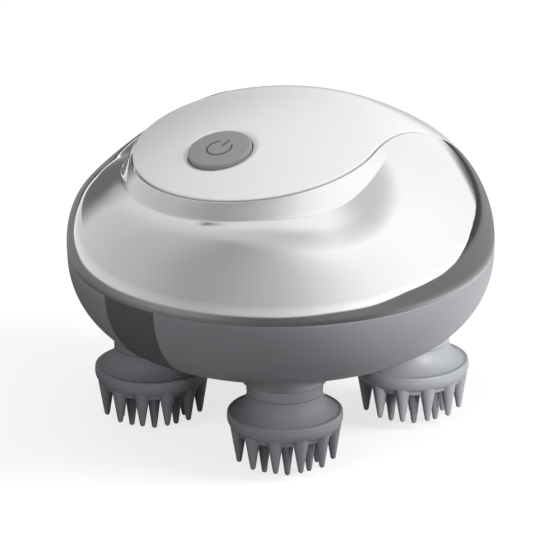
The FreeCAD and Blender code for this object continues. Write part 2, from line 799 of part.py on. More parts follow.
def battery():
    middle = plate_top + cradle_floor + cell_radius
    cell = doc.addObject("Part::Cylinder", "cell")
    bind(cell, "Radius", cell_radius)
    bind(cell, "Height", cell_length)
    along_x = FreeCAD.Rotation(FreeCAD.Vector(0, 1, 0), 90)
    cell.Placement = FreeCAD.Placement(FreeCAD.Vector(0, 0, 0), along_x)
    keep("battery_cell", place(cell, cell_length / -2, cell_setback, middle))
    trough = doc.addObject("Part::Cylinder", "trough")
    bind(trough, "Radius", cell_radius + cell_gap)
    bind(trough, "Height", cell_length)
    trough.Placement = FreeCAD.Placement(FreeCAD.Vector(0, 0, 0), along_x)
    place(trough, cell_length / -2, cell_setback, middle)
    depth = 2 * (cell_radius + cradle_side)
    block = box(cradle_width, depth, plate_top, plate_top + cradle_height, cell_setback - depth / 2)
    keep("battery_cradle", cut(block, [trough]))


def charging_port():
    mouth = -1 * (bowl_rim - housing_wall)
    board_back = -1 * (post_circle + screw_head_radius + port_board_screw_gap)
    board_front = mouth + port_board_setback
    keep("port_board", box(port_board_width, board_back - board_front, plate_top, port_bottom, board_front))
    body = box(port_width, port_depth, port_bottom, port_bottom + port_height, mouth)
    throat = box(port_width - 2 * port_wall, port_depth - 2 * port_wall, port_bottom + port_wall,
                 port_bottom + port_height - port_wall, mouth)
    keep("charging_socket", cut(body, [throat]))


# Brush heads: silicone brush on a rigid hub, turned by a spindle and gear
def head_hub():
    plate_top_level = hub_plate_level + hub_plate_thickness
    bore_end = hub_plate_level + hub_plate_thickness / 2
    column_level = collar_level + collar_gap
    return turned([
        (0, hub_plate_level), (hub_plate_radius, hub_plate_level), (hub_plate_radius, plate_top_level),
        (hub_neck_radius, plate_top_level), (hub_neck_radius, column_level), (hub_radius, column_level),
        (hub_radius, boss_end_level), (spindle_radius, boss_end_level), (spindle_radius, bore_end),
        (0, bore_end)])


def tooth(tip):
    # One round-ended tooth on its own upright axis.
    root_level = brush_floor_level + tooth_root
    return turned([(0, tip, tooth_tip_radius, 1), (tooth_tip_radius, tip + tooth_tip_radius),
                   (tooth_base_radius, root_level), (0, root_level)])


def brush_head():
    plate_top_level = hub_plate_level + hub_plate_thickness
    body = turned([
        (0, brush_floor_level), (brush_floor_radius, brush_floor_level, rim_round, 1),
        (rim_radius, rim_level, shoulder_round, 1), (bell_radius, bell_level), (collar_radius, collar_level),
        (hub_neck_radius, collar_level), (hub_neck_radius, plate_top_level),
        (hub_plate_radius, plate_top_level), (hub_plate_radius, hub_plate_level), (0, hub_plate_level)])
    teeth = [tooth(tip_plane)]
    rows = ((inner_tooth_circle, tip_plane, inner_tooth_count),
            (outer_tooth_circle, outer_tip_level, outer_tooth_count))
    for circle, tip, count in rows:
        teeth += [around(tooth(tip), 360.0 * i / float(count), circle) for i in range(int(float(count)))]
    return fuse([body] + teeth)


def heads():
    ring_level = gear_level + gear_thickness + ring_gap
    ring_top = ring_level + ring_thickness
    spindle_bottom = hub_plate_level + hub_plate_thickness / 2
    for number, angle in enumerate(head_angles, 1):
        def carried(name, thing, phase=None):
            keep("%s_%d" % (name, number), around(thing, angle, head_circle, phase))

        carried("head_hub", head_hub())
        carried("brush_head", brush_head(), float(head_phase))
        carried("head_spindle", turned([
            (0, spindle_bottom), (spindle_radius, spindle_bottom), (spindle_radius, ring_level),
            (groove_radius, ring_level), (groove_radius, ring_top), (spindle_radius, ring_top),
            (spindle_radius, plate_top), (0, plate_top)]))
        gap_inwards = 180.0 + 180.0 / float(head_teeth)
        carried("head_gear", gear(head_teeth, gap_inwards, spindle_radius, none))
        carried("retaining_ring", turned([(groove_radius, ring_level), (ring_radius, ring_level),
                                          (ring_radius, ring_top), (groove_radius, ring_top)], ring_sweep))
        bore = spindle_radius + running_gap
        carried("head_seal", turned([(bore, hub_pocket_top), (seal_radius, hub_pocket_top),
                                     (seal_radius, seal_top), (bore, seal_top)]))
        carried("head_bush", turned([(bore, seal_top), (bush_radius, seal_top),
                                     (bush_radius, tower_top), (bore, tower_top)]))


chrome_shell()
top_cover()
power_button()
main_board()
lower_housing()
drive()
gear_plate()
battery()
charging_port()
heads()
doc.recompute()

for thing in doc.Objects:
    if "Invalid" in thing.State or "Error" in thing.State:
        raise RuntimeError("%s failed" % thing.Label)
os.makedirs("parts", exist_ok=True)
for label, thing in pieces.items():
    shape = thing.Shape
    if shape.isNull() or not shape.isValid():
        raise RuntimeError("%s has no sound shape" % label)
    shape.exportStep("parts/%s.step" % label)
print(len(pieces), "pieces written")
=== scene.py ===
import bpy
import bmesh
import json
import numpy as np
from math import acos, asin, atan2, cos, degrees, hypot, pi, radians, sin, sqrt, tan
from mathutils import Matrix, Vector

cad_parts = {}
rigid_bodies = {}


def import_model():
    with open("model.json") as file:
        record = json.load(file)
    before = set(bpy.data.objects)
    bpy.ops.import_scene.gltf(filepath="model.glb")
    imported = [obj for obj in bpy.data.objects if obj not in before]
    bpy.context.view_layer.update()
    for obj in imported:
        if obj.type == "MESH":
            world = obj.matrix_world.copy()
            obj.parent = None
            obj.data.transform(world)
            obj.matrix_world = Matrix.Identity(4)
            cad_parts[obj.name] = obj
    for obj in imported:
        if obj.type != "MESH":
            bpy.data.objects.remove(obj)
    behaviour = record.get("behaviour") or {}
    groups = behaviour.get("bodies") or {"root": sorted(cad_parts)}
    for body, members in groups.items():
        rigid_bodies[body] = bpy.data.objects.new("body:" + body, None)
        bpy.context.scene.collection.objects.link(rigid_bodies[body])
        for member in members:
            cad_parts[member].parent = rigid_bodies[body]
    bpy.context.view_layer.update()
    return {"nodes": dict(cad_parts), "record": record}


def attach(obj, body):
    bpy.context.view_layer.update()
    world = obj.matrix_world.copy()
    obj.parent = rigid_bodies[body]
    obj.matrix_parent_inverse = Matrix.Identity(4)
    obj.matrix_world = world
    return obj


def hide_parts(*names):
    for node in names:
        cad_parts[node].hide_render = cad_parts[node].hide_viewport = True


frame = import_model()
scene = bpy.context.scene
scene.view_settings.view_transform = "Standard"
mm = 0.001
mergeGap = 1e-7   # metres
tiny = 1e-9   # keeps divisions off zero
print("frame loaded,", len(frame["nodes"]), "CAD nodes")

# sizes shared by the body's pieces, in millimetres
body = {
    "radius": 55.0, "equator": 48.4, "shoulder": 30.0, "domeTop": 86.0, "parting": 45.7,
    "crownTop": 83.0, "crownRadius": 115.0, "crownBack": 8.0, "blend": 1.2,
    "noseRadius": 32.0, "noseBack": 8.2, "waistHalf": 25.0, "waistBack": 30.0,
    "cornerRadius": 22.7, "base": 18.65, "seam": 0.3,
}
body["shoulderAt"] = body["radius"] - body["shoulder"]
domeHeight = body["domeTop"] - body["equator"]
body["domeRadius"] = (body["radius"] ** 2 + domeHeight ** 2 - 2 * body["radius"] * body["shoulder"]) / (
    2 * (domeHeight - body["shoulder"]))
body["crownCentre"] = body["crownTop"] - body["crownRadius"]
body["rim"] = body["shoulderAt"] + sqrt(body["shoulder"] ** 2 - (body["equator"] - body["parting"]) ** 2)
body["rimAngle"] = asin((body["equator"] - body["parting"]) / body["shoulder"])
waistReach = body["waistBack"] + body["noseBack"]
body["waistRadius"] = (body["waistHalf"] ** 2 + waistReach ** 2 - body["noseRadius"] ** 2) / (
    2 * (body["noseRadius"] - body["waistHalf"]))
body["waistX"] = body["waistHalf"] + body["waistRadius"]
body["bowlAt"] = body["rim"] - body["cornerRadius"]
bowlDepth = body["parting"] - body["base"]
body["baseRadius"] = (body["bowlAt"] ** 2 + bowlDepth ** 2 - body["cornerRadius"] ** 2) / (
    2 * (bowlDepth - body["cornerRadius"]))


def ease(share):
    share = np.clip(share, 0, 1)
    return share * share * (3 - 2 * share)


def gridMesh(name, points, wrapU=False, wrapV=False, capU=False):
    # rows of points to a quad mesh, in metres; capU closes the two end rows
    rows, columns = points.shape[:2]
    vertices = (points.reshape(-1, 3) * mm).tolist()
    faces = []
    for i in range(rows if wrapU else rows - 1):
        for j in range(columns if wrapV else columns - 1):
            a, b = i * columns, ((i + 1) % rows) * columns
            k = (j + 1) % columns
            faces.append((a + j, b + j, b + k, a + k))
    if capU:
        faces.append(tuple(range(columns)))
        faces.append(tuple((rows - 1) * columns + j for j in range(columns)))
    mesh = bpy.data.meshes.new(name)
    mesh.from_pydata(vertices, [], faces)
    return mesh


def cleanUp(mesh, smoothAngle=35):
    # merge poles and seams, point faces outwards, smooth below the angle
    work = bmesh.new()
    work.from_mesh(mesh)
    bmesh.ops.remove_doubles(work, verts=work.verts, dist=mergeGap)
    bmesh.ops.dissolve_degenerate(work, edges=work.edges, dist=mergeGap)
    bmesh.ops.recalc_face_normals(work, faces=work.faces)
    limit = radians(smoothAngle)
    for face in work.faces:
        face.smooth = True
    for edge in work.edges:
        edge.smooth = len(edge.link_faces) == 2 and edge.calc_face_angle(0) < limit
    work.to_mesh(mesh)
    work.free()
    return mesh


def meshFrom(name, work):
    mesh = bpy.data.meshes.new(name)
    work.to_mesh(mesh)
    work.free()
    return mesh


def joined(name, meshes):
    work = bmesh.new()
    for mesh in meshes:
        work.from_mesh(mesh)
        bpy.data.meshes.remove(mesh)
    return meshFrom(name, work)


def putIn(name, data):
    item = bpy.data.objects.new(name, data)
    scene.collection.objects.link(item)
    return item


def evaluatedMesh(piece):
    return bpy.data.meshes.new_from_object(piece.evaluated_get(bpy.context.evaluated_depsgraph_get()))


def addPiece(name, mesh, finish, bodyName, nodes):
    piece = putIn(name, mesh)
    mesh.materials.clear()
    mesh.materials.append(finish)
    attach(piece, bodyName)
    if nodes:
        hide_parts(*nodes)


def roundedPath(corners, steps=6):
    # polyline through (x, y, radius) corners, each rounded with an arc
    path = []
    for i, corner in enumerate(corners):
        here = np.array(corner[:2], float)
        radius = corner[2] if len(corner) > 2 else 0
        if radius == 0 or i in (0, len(corners) - 1):
            path.append(here)
            continue
        before = np.array(corners[i - 1][:2], float) - here
        after = np.array(corners[i + 1][:2], float) - here
        before /= np.linalg.norm(before)
        after /= np.linalg.norm(after)
        half = acos(np.clip(before @ after, -1, 1)) / 2
        reach = radius / tan(half)
        middle = here + (before + after) / np.linalg.norm(before + after) * radius / sin(half)
        start, end = here + before * reach - middle, here + after * reach - middle
        turn = atan2(start[0] * end[1] - start[1] * end[0], start @ end)
        for k in range(steps + 1):
            a = turn * k / steps
            spin = np.array([[cos(a), -sin(a)], [sin(a), cos(a)]])
            path.append(middle + spin @ start)
    return np.array(path)


def spun(name, path, segments=96):
    # profile in radius and height, spun about the upright axis
    angles = np.linspace(0, 2 * pi, segments, endpoint=False)
    points = np.stack([np.outer(np.cos(angles), path[:, 0]), np.outer(np.sin(angles), path[:, 0]),
                       np.tile(path[:, 1], (segments, 1))], axis=2)
    return gridMesh(name, points, wrapU=True)


def bowed(first, middle, last, steps):
    # curve from first to last, pulled towards middle
    return [(1 - s) ** 2 * first + 2 * s * (1 - s) * middle + s * s * last for s in np.linspace(0, 1, steps)]


# finishes
def fill(tree, node, inputs):
    # an input is a socket to link from or a plain value
    for socket, value in inputs.items():
        if isinstance(value, bpy.types.NodeSocket):
            tree.links.new(value, node.inputs[socket])
        else:
            node.inputs[socket].default_value = value
    return node


def addNode(tree, kind, inputs, **settings):
    # settings go first, since they decide which sockets there are
    node = tree.nodes.new(kind)
    for name, value in settings.items():
        setattr(node, name, value)
    return fill(tree, node, inputs)


def mathOn(tree, operation, a, b=0.0):
    return addNode(tree, "ShaderNodeMath", {0: a, 1: b}, operation=operation).outputs["Value"]


def noiseOn(tree, place, scale, detail=3.0):
    inputs = {"Scale": scale, "Detail": detail, "Vector": place}
    return addNode(tree, "ShaderNodeTexNoise", inputs).outputs["Fac"]


def mapRange(tree, value, low, high, toLow=0.0, toHigh=1.0, kind="LINEAR"):
    inputs = {"Value": value, "From Min": low, "From Max": high, "To Min": toLow, "To Max": toHigh}
    return addNode(tree, "ShaderNodeMapRange", inputs, interpolation_type=kind).outputs["Result"]


def blend(tree, share, first, second):
    # first where the share is 0, second where it is 1
    inputs = {"Factor": share, "A": first, "B": second}
    return addNode(tree, "ShaderNodeMix", inputs, data_type="RGBA").outputs["Result"]


def grey(tone):
    return (tone, tone, tone, 1)


def newFinish(name):
    finish = bpy.data.materials.new(name)
    finish.use_nodes = True
    return finish, finish.node_tree


def objectPlace(tree):
    return tree.nodes.new("ShaderNodeTexCoord").outputs["Object"]


grain = {"sheenScale": 3, "detail": 2.0, "depth": 0.00005}


def mouldedFinish(name, look):
    # plastic, rubber or metal: cloudy colour, uneven gloss, fine grain
    finish, tree = newFinish(name)
    place = objectPlace(tree)
    darker = [c * (1 - look["cloud"]) for c in look["colour"]]
    paler = [min(c * (1 + look["cloud"]), 1) for c in look["colour"]]
    colour = blend(tree, noiseOn(tree, place, look["cloudScale"]), (*darker, 1), (*paler, 1))
    sheen = noiseOn(tree, place, look["cloudScale"] * grain["sheenScale"])
    height = noiseOn(tree, place, look["grainScale"], grain["detail"])
    bump = addNode(tree, "ShaderNodeBump", {"Strength": look["grain"], "Distance": grain["depth"],
                                            "Height": height})
    fill(tree, tree.nodes["Principled BSDF"], {
        "Base Color": colour, "Roughness": mapRange(tree, sheen, 0.0, 1.0, *look["gloss"]),
        "Normal": bump.outputs["Normal"], "Specular IOR Level": look.get("specular", 0.5),
        "Coat Weight": look.get("coat", 0.0), "Coat Roughness": look.get("coatGloss", 0.1),
        "Metallic": look.get("metal", 0.0)})
    return finish


def chromeFinish(name, look):
    # plated plastic: mirror gloss, faintly uneven
    finish, tree = newFinish(name)
    sheen = noiseOn(tree, objectPlace(tree), look["cloudScale"])
    fill(tree, tree.nodes["Principled BSDF"], {
        "Base Color": (*look["colour"], 1), "Metallic": 1.0,
        "Roughness": mapRange(tree, sheen, 0.0, 1.0, *look["gloss"])})
    return finish


lookKeys = ("colour", "cloud", "cloudScale", "gloss", "grainScale", "grain")
looks = {
    "whiteShell": ((0.71, 0.71, 0.72), 0.01, 30, (0.22, 0.28), 2500, 0.02),
    "bowlGrey": ((0.160, 0.164, 0.174), 0.03, 40, (0.36, 0.44), 3500, 0.10),
    "stripRubber": ((0.064, 0.064, 0.065), 0.06, 60, (0.55, 0.66), 4000, 0.25),
    "brushSilicone": ((0.135, 0.139, 0.150), 0.04, 90, (0.46, 0.56), 4000, 0.15),
    "hubGrey": ((0.150, 0.154, 0.165), 0.03, 90, (0.36, 0.44), 3500, 0.08),
    "buttonGrey": ((0.245, 0.247, 0.252), 0.03, 90, (0.38, 0.46), 3500, 0.10),
    "markDark": ((0.045, 0.045, 0.047), 0.02, 90, (0.35, 0.45), 3500, 0.05),
    "sealBlack": ((0.02, 0.02, 0.02), 0.1, 90, (0.55, 0.7), 4000, 0.2),
    "innerBlack": ((0.04, 0.04, 0.042), 0.08, 70, (0.4, 0.55), 3000, 0.2),
    "gearNylon": ((0.72, 0.70, 0.64), 0.03, 80, (0.4, 0.5), 3000, 0.1),
    "boardGreen": ((0.02, 0.12, 0.05), 0.12, 300, (0.25, 0.35), 1500, 0.1),
    "screwSteel": ((0.45, 0.45, 0.46), 0.06, 200, (0.22, 0.36), 2500, 0.1),
    "bearingBrass": ((0.60, 0.43, 0.15), 0.06, 200, (0.25, 0.4), 2500, 0.1),
    "gearboxAlloy": ((0.50, 0.50, 0.51), 0.05, 150, (0.4, 0.55), 1500, 0.3),
    "cellSleeve": ((0.04, 0.12, 0.36), 0.05, 60, (0.2, 0.3), 1200, 0.05),
}
lookExtras = {
    "whiteShell": {"coat": 0.15, "coatGloss": 0.12}, "stripRubber": {"specular": 0.3},
    "brushSilicone": {"specular": 0.4}, "screwSteel": {"metal": 1.0}, "bearingBrass": {"metal": 1.0},
    "gearboxAlloy": {"metal": 1.0},
}
chromeLook = {"colour": (0.715, 0.72, 0.73), "gloss": (0.035, 0.06), "cloudScale": 25}
finishes = {name: mouldedFinish(name, {**dict(zip(lookKeys, row)), **lookExtras.get(name, {})})
            for name, row in looks.items()}
finishes["platedChrome"] = chromeFinish("platedChrome", chromeLook)
print("finishes ready")


# the dome and the flatter sphere that takes down its top
def domeHeightAt(r):
    dome, shoulder = body["domeRadius"], body["shoulder"]
    side = body["equator"] + np.sqrt(np.maximum(shoulder ** 2 - (r - body["shoulderAt"]) ** 2, 0))
    top = body["domeTop"] - dome + np.sqrt(np.maximum(dome ** 2 - r ** 2, 0))
    return np.where(r > body["shoulderAt"] * dome / (dome - shoulder), side, top)


def crownHeightAt(x, y):
    reach = body["crownRadius"] ** 2 - x ** 2 - (y - body["crownBack"]) ** 2
    return body["crownCentre"] + np.sqrt(reach)


def softLower(a, b, width):
    near = np.maximum(width - np.abs(a - b), 0) / width
    return np.minimum(a, b) - near * near * width / 4


def skinHeight(x, y):
    return softLower(domeHeightAt(np.hypot(x, y)), crownHeightAt(x, y), body["blend"])


# cover outline seen from above, right half, from the nose to the equator at the back
def coverOutline(gap, noseSteps=90, waistSteps=80, halvings=60):
    nose, waist = body["noseRadius"] + gap, body["waistRadius"] - gap
    share = body["noseRadius"] / (body["noseRadius"] + body["waistRadius"])
    joinAngle = atan2(share * body["waistX"], -(share * waistReach))
    angles = np.linspace(0, joinAngle, noseSteps)
    points = [(nose * sin(a), -body["noseBack"] - nose * cos(a)) for a in angles]
    begin = atan2(share * waistReach - waistReach, (share - 1) * body["waistX"]) % (2 * pi)

    def onWaist(a):
        return body["waistX"] + waist * cos(a), body["waistBack"] + waist * sin(a)

    low, high = radians(90), pi   # where the arc leaves the body's round
    for k in range(halvings):
        middle = (low + high) / 2
        if hypot(*onWaist(middle)) > body["radius"]:
            low = middle
        else:
            high = middle
    points += [onWaist(a) for a in np.linspace(begin, low, waistSteps)[1:]]
    return np.array(points)


# chrome shell
chromeShell = {
    "step": 3.3, "stepWidth": 2.8, "stepLean": 1.5, "stepCrease": 0.25, "fullAngle": 60, "endAngle": 112,
    "sideStep": 2.7, "sideFrom": 28, "sideFull": 76, "sideTaper": 0.8, "taper": 1.5, "wall": 3.2,
    "ledge": 3.0, "ledgeDrop": 1.9, "edgeRound": 0.35, "edgeRows": 5, "stepRows": 40, "stepReach": 4.2,
    "rimRoom": 0.5, "rows": 50, "rimTuck": 0.12, "innerRows": 9,
}


def makeChromeShell(form):
    right = coverOutline(body["seam"])
    outline = np.vstack([right[::-1] * (-1, 1), right[1:]])
    loops = []
    for x, y in outline:
        swing = degrees(atan2(x, -y))
        across, along = sin(radians(swing)), -cos(radians(swing))
        start = hypot(x, y)
        back = body["noseBack"]
        nose = -back * along + sqrt(body["noseRadius"] ** 2 - (back * across) ** 2)
        foot = nose + form["stepWidth"]
        side = float(ease((abs(swing) - form["sideFrom"]) / (form["sideFull"] - form["sideFrom"])))
        fade = ease((form["endAngle"] - abs(swing)) / (form["endAngle"] - form["fullAngle"]))
        step = (form["step"] + form["sideStep"] * side) * fade
        power = form["taper"] + form["sideTaper"] * side

        def topAt(r):
            taper = 1 - (np.maximum(r - foot, 0) / (body["radius"] - foot)) ** power
            fall = np.maximum((r - nose) / form["stepWidth"], 0) ** form["stepLean"]
            return skinHeight(r * across, r * along) - step * softLower(fall, 1, form["stepCrease"]) * taper

        soft = form["edgeRound"]
        turn = np.linspace(0, pi / 2, form["edgeRows"])
        edgeR = start + soft * (1 - np.cos(turn))
        edgeZ = topAt(edgeR) - soft * (1 - np.sin(turn))
        creaseEnd = min(edgeR[-1] + form["stepReach"], body["radius"] - form["rimRoom"])
        share = np.sin(np.linspace(0, pi / 2, form["rows"])[1:])
        mainR = np.concatenate([np.linspace(edgeR[-1], creaseEnd, form["stepRows"])[1:],
                                creaseEnd + (body["radius"] - creaseEnd) * share])
        mainZ = topAt(mainR)
        below = np.linspace(0, body["rimAngle"], form["edgeRows"])[1:]
        lowR = body["shoulderAt"] + body["shoulder"] * np.cos(below)
        lowZ = body["equator"] - body["shoulder"] * np.sin(below)
        lowR[-1] -= form["rimTuck"]
        inner = np.linspace(0, 1, form["innerRows"])[::-1]
        ledgeStart, innerRim = start - form["ledge"], body["rim"] - form["wall"]
        innerR = ledgeStart + (innerRim - ledgeStart) * np.sin(inner * pi / 2)
        innerZ = topAt(np.minimum(innerR * body["radius"] / innerRim, body["radius"])) - form["wall"]
        innerZ[0] = body["parting"]
        ledgeR = np.array([ledgeStart, start])
        ledgeZ = skinHeight(ledgeR * across, ledgeR * along) - form["ledgeDrop"]
        r = np.concatenate([ledgeR, edgeR, mainR, lowR, innerR])
        z = np.concatenate([ledgeZ, edgeZ, mainZ, lowZ, innerZ])
        loops.append(np.stack([r * across, r * along, z], axis=1))
    return cleanUp(gridMesh("chromeShell", np.array(loops), wrapV=True, capU=True))


addPiece("chromeShell", makeChromeShell(chromeShell), finishes["platedChrome"], "housing", ["chrome_shell"])
print("chrome shell made")


# white cover, on a flattened map of the dome
def domeTable(topSteps=400, sideSteps=600, flatness=0.75):
    meetAngle = asin(body["shoulderAt"] / (body["domeRadius"] - body["shoulder"]))
    top = np.linspace(0, meetAngle, topSteps)
    side = np.linspace(pi / 2 - meetAngle, -body["rimAngle"], sideSteps)[1:]
    r = np.concatenate([body["domeRadius"] * np.sin(top),
                        body["shoulderAt"] + body["shoulder"] * np.cos(side)])
    z = np.concatenate([body["domeTop"] - body["domeRadius"] + body["domeRadius"] * np.cos(top),
                        body["equator"] + body["shoulder"] * np.sin(side)])
    length = np.concatenate([[0], np.cumsum(np.hypot(np.diff(r), np.diff(z)))])
    return r, z, flatness * r + (1 - flatness) * length


tableR, tableZ, tableMap = domeTable()


def onMap(x, y):
    r = np.hypot(x, y)
    upper = np.argmax(tableR) + 1
    q = np.interp(r, tableR[:upper], tableMap[:upper])
    return np.stack([q * x / np.maximum(r, tiny), q * y / np.maximum(r, tiny)], axis=-1)


def offMap(points):
    q = np.hypot(points[..., 0], points[..., 1])
    r, z = np.interp(q, tableMap, tableR), np.interp(q, tableMap, tableZ)
    x, y = points[..., 0] / np.maximum(q, tiny) * r, points[..., 1] / np.maximum(q, tiny) * r
    return np.stack([x, y, softLower(z, crownHeightAt(x, y), body["blend"])], axis=-1)


button = {"tilt": 15.1, "radius": 8.25, "proud": 0.4, "gap": 0.25, "chamfer": 1.5, "depth": 1.0,
          "skirt": 2.8, "flange": 1.15, "flangeThick": 1.2, "flangeEdge": 0.2, "edge": 0.45,
          "stem": 2.0, "stemDrop": 4.0, "stemEdge": 0.3, "segments": 128}
buttonAxis = np.array([0, -sin(radians(button["tilt"])), cos(radians(button["tilt"]))])
buttonSide = np.array([1.0, 0, 0])
buttonUp = np.cross(buttonAxis, buttonSide)
crownMiddle = np.array([0, body["crownBack"], body["crownCentre"]])


def onButton(across, upward, height):
    # a point beside the button's axis, height counted from the middle of the cover's sphere
    return crownMiddle + np.multiply.outer(across, buttonSide) + np.multiply.outer(upward, buttonUp) + \
        np.multiply.outer(height, buttonAxis)


topCover = {"wall": 1.6, "edgeRound": 0.35, "edgeRows": 5, "rows": 70, "fineRows": 300, "backSteps": 60,
            "dropSteps": 8, "middle": -22.0, "slopeStep": 0.05, "underEvery": 6, "throatOut": 0.06,
            "throatUp": 0.05}


def makeTopCover(form):
    def boundary(inset):
        right = coverOutline(-inset)
        side = onMap(right[:, 0], right[:, 1])
        swing = atan2(right[-1][0], right[-1][1])
        bottom = np.interp(body["parting"] + inset, tableZ[::-1], tableMap[::-1])
        equator = np.hypot(*side[-1])
        drop = np.linspace(equator, bottom, form["dropSteps"])[1:]
        wall = np.stack([drop * sin(swing), drop * cos(swing)], axis=1)
        back = np.linspace(swing, -swing, form["backSteps"])[1:-1]
        rear = np.stack([bottom * np.sin(back), bottom * np.cos(back)], axis=1)
        half = np.vstack([side, wall])
        return np.vstack([half, rear, half[:0:-1] * (-1, 1)])

    edge, shoulder = boundary(0), boundary(form["edgeRound"])
    holeRadius = button["radius"] + button["gap"] + button["chamfer"]
    centre = onMap(0.0, form["middle"])
    angles = np.unwrap(np.arctan2(shoulder[:, 0] - centre[0], -(shoulder[:, 1] - centre[1])))

    def ring(radius, height):
        level = np.full(len(angles), height)
        return onButton(radius * np.sin(angles), -radius * np.cos(angles), level)[:, None]

    rim = ring(holeRadius, sqrt(body["crownRadius"] ** 2 - holeRadius ** 2))[:, 0]
    hole = onMap(rim[:, 0], rim[:, 1])
    fine = np.linspace(0, 1, form["fineRows"])
    lines = hole[:, None] + (shoulder - hole)[:, None] * fine[None, :, None]
    solid = offMap(lines)
    lengths = np.concatenate([np.zeros((len(solid), 1)),
                              np.cumsum(np.linalg.norm(np.diff(solid, axis=1), axis=2), axis=1)], axis=1)
    even = []
    for line, length in zip(lines, lengths):
        marks = np.linspace(0, length[-1], form["rows"])
        even.append(np.stack([np.interp(marks, length, line[:, k]) for k in (0, 1)], axis=1))
    top = offMap(np.array(even))
    top[:, 0] = rim
    step, shift = form["slopeStep"], np.array(even)
    alongX = offMap(shift + (step, 0)) - offMap(shift - (step, 0))
    alongY = offMap(shift + (0, step)) - offMap(shift - (0, step))
    normal = np.cross(alongX, alongY)
    normal /= np.linalg.norm(normal, axis=2, keepdims=True)
    shoulderPoints = top[:, -1]
    outward = offMap(edge) - shoulderPoints
    outward -= (outward * normal[:, -1]).sum(1, keepdims=True) * normal[:, -1]
    soft = form["edgeRound"]
    turn = np.linspace(0, pi / 2, form["edgeRows"])[1:]
    fillet = np.stack([shoulderPoints + outward * sin(a) - normal[:, -1] * soft * (1 - cos(a))
                       for a in turn], axis=1)
    foot = (fillet[:, -1] - normal[:, -1] * (form["wall"] - soft))[:, None]
    under = (top - normal * form["wall"])[:, ::-form["underEvery"]][:, 1:]
    seat = body["crownRadius"] - button["depth"]
    bore = button["radius"] + button["gap"]
    throat = np.concatenate([ring(bore, body["crownRadius"] - form["wall"]), ring(bore, seat),
                             ring(bore + form["throatOut"], seat + form["throatUp"])], axis=1)
    loops = np.concatenate([top, fillet, foot, under[:, :-1], throat], axis=1)
    return cleanUp(gridMesh("topCover", loops, wrapU=True, wrapV=True))


addPiece("topCover", makeTopCover(topCover), finishes["whiteShell"], "housing", ["top_cover"])
print("top cover made")


# power button with a plain power sign in place of the swirl
def makePowerButton(form):
    top = body["crownRadius"] + form["proud"]
    flangeTop = top - form["skirt"]
    flangeFoot, stemFoot = flangeTop - form["flangeThick"], flangeTop - form["stemDrop"]
    flange = form["radius"] + form["flange"]
    path = roundedPath([(0, stemFoot), (form["stem"], stemFoot, form["stemEdge"]), (form["stem"], flangeFoot),
                        (flange, flangeFoot, form["flangeEdge"]), (flange, flangeTop, form["flangeEdge"]),
                        (form["radius"], flangeTop), (form["radius"], top, form["edge"]), (0, top)])
    mesh = spun("powerButton", path, form["segments"])
    for vertex in mesh.vertices:
        x, y, z = vertex.co / mm
        vertex.co = Vector(onButton(x, y, z)) * mm
    return cleanUp(mesh)


powerMark = {"ring": 3.2, "width": 0.5, "rise": 0.05, "opening": 38, "barFrom": 1.1, "barTo": 4.0,
             "ringSteps": 61, "barSteps": 8, "sunk": 0.1, "bevelRise": 0.4, "bevelFlat": 0.82}


def makePowerMark(form):
    # an open ring and a bar, barely proud of the face
    strokes = []
    level = body["crownRadius"] + button["proud"]
    sweep = np.radians(np.linspace(form["opening"], 360 - form["opening"], form["ringSteps"]))
    ring = np.stack([form["ring"] * np.sin(sweep), form["ring"] * np.cos(sweep)], axis=1)
    bar = np.array([(0, v) for v in np.linspace(form["barFrom"], form["barTo"], form["barSteps"])])
    right = [(1.0, -form["sunk"]), (1.0, form["rise"] * form["bevelRise"]), (form["bevelFlat"], form["rise"])]
    section = right + [(-across, height) for across, height in right[::-1]]
    for line in (ring, bar):
        way = np.gradient(line, axis=0)
        way /= np.linalg.norm(way, axis=1, keepdims=True)
        side = np.stack([way[:, 1], -way[:, 0]], axis=1) * form["width"] / 2
        points = [[onButton(*(point + offset * k), level + h) for k, h in section]
                  for point, offset in zip(line, side)]
        strokes.append(gridMesh("stroke", np.array(points), wrapV=True, capU=True))
    return cleanUp(joined("powerMark", strokes))


addPiece("powerButton", makePowerButton(button), finishes["buttonGrey"], "button", ["power_button"])
addPiece("powerMark", makePowerMark(powerMark), finishes["markDark"], "button", [])
print("button made")


# lower housing: bowl, four filleted bosses, strip recess and port mouth
bowl = {"wall": 2.6, "edgeRound": 0.3, "segments": 256, "rimDrop": 0.02, "headCircle": 33.5, "bossTip": 10.03,
        "bossEnd": 23.1, "bossFlare": 0.136, "bossFillet": 1.3, "bossSegments": 240, "bore": 10.2,
        "boreFoot": 10.0, "boreSegments": 128, "seat": 8.6, "skirtDrop": 0.9, "skirtLowest": 20.55,
        "skirtWall": 0.25, "least": 0.05, "openOver": 0.12, "meetTries": 6, "filletShare": 0.85,
        "filletSteps": 9, "lipEdge": 0.15, "lipShare": 0.1, "lipInner": 0.3, "lipTall": 0.6, "lipSteps": 4,
        "sink": 0.8, "rootTall": 1.2, "rootInner": 1.0, "rootLeast": 1.6, "recessOut": 2.0,
        "mouthPlace": (0, -51.5, 41.1), "mouthSize": (9.5, 12.0, 3.8)}
headSpots = [(bowl["headCircle"] * cos(radians(a)), bowl["headCircle"] * sin(radians(a)))
             for a in (-45, 45, 135, 225)]


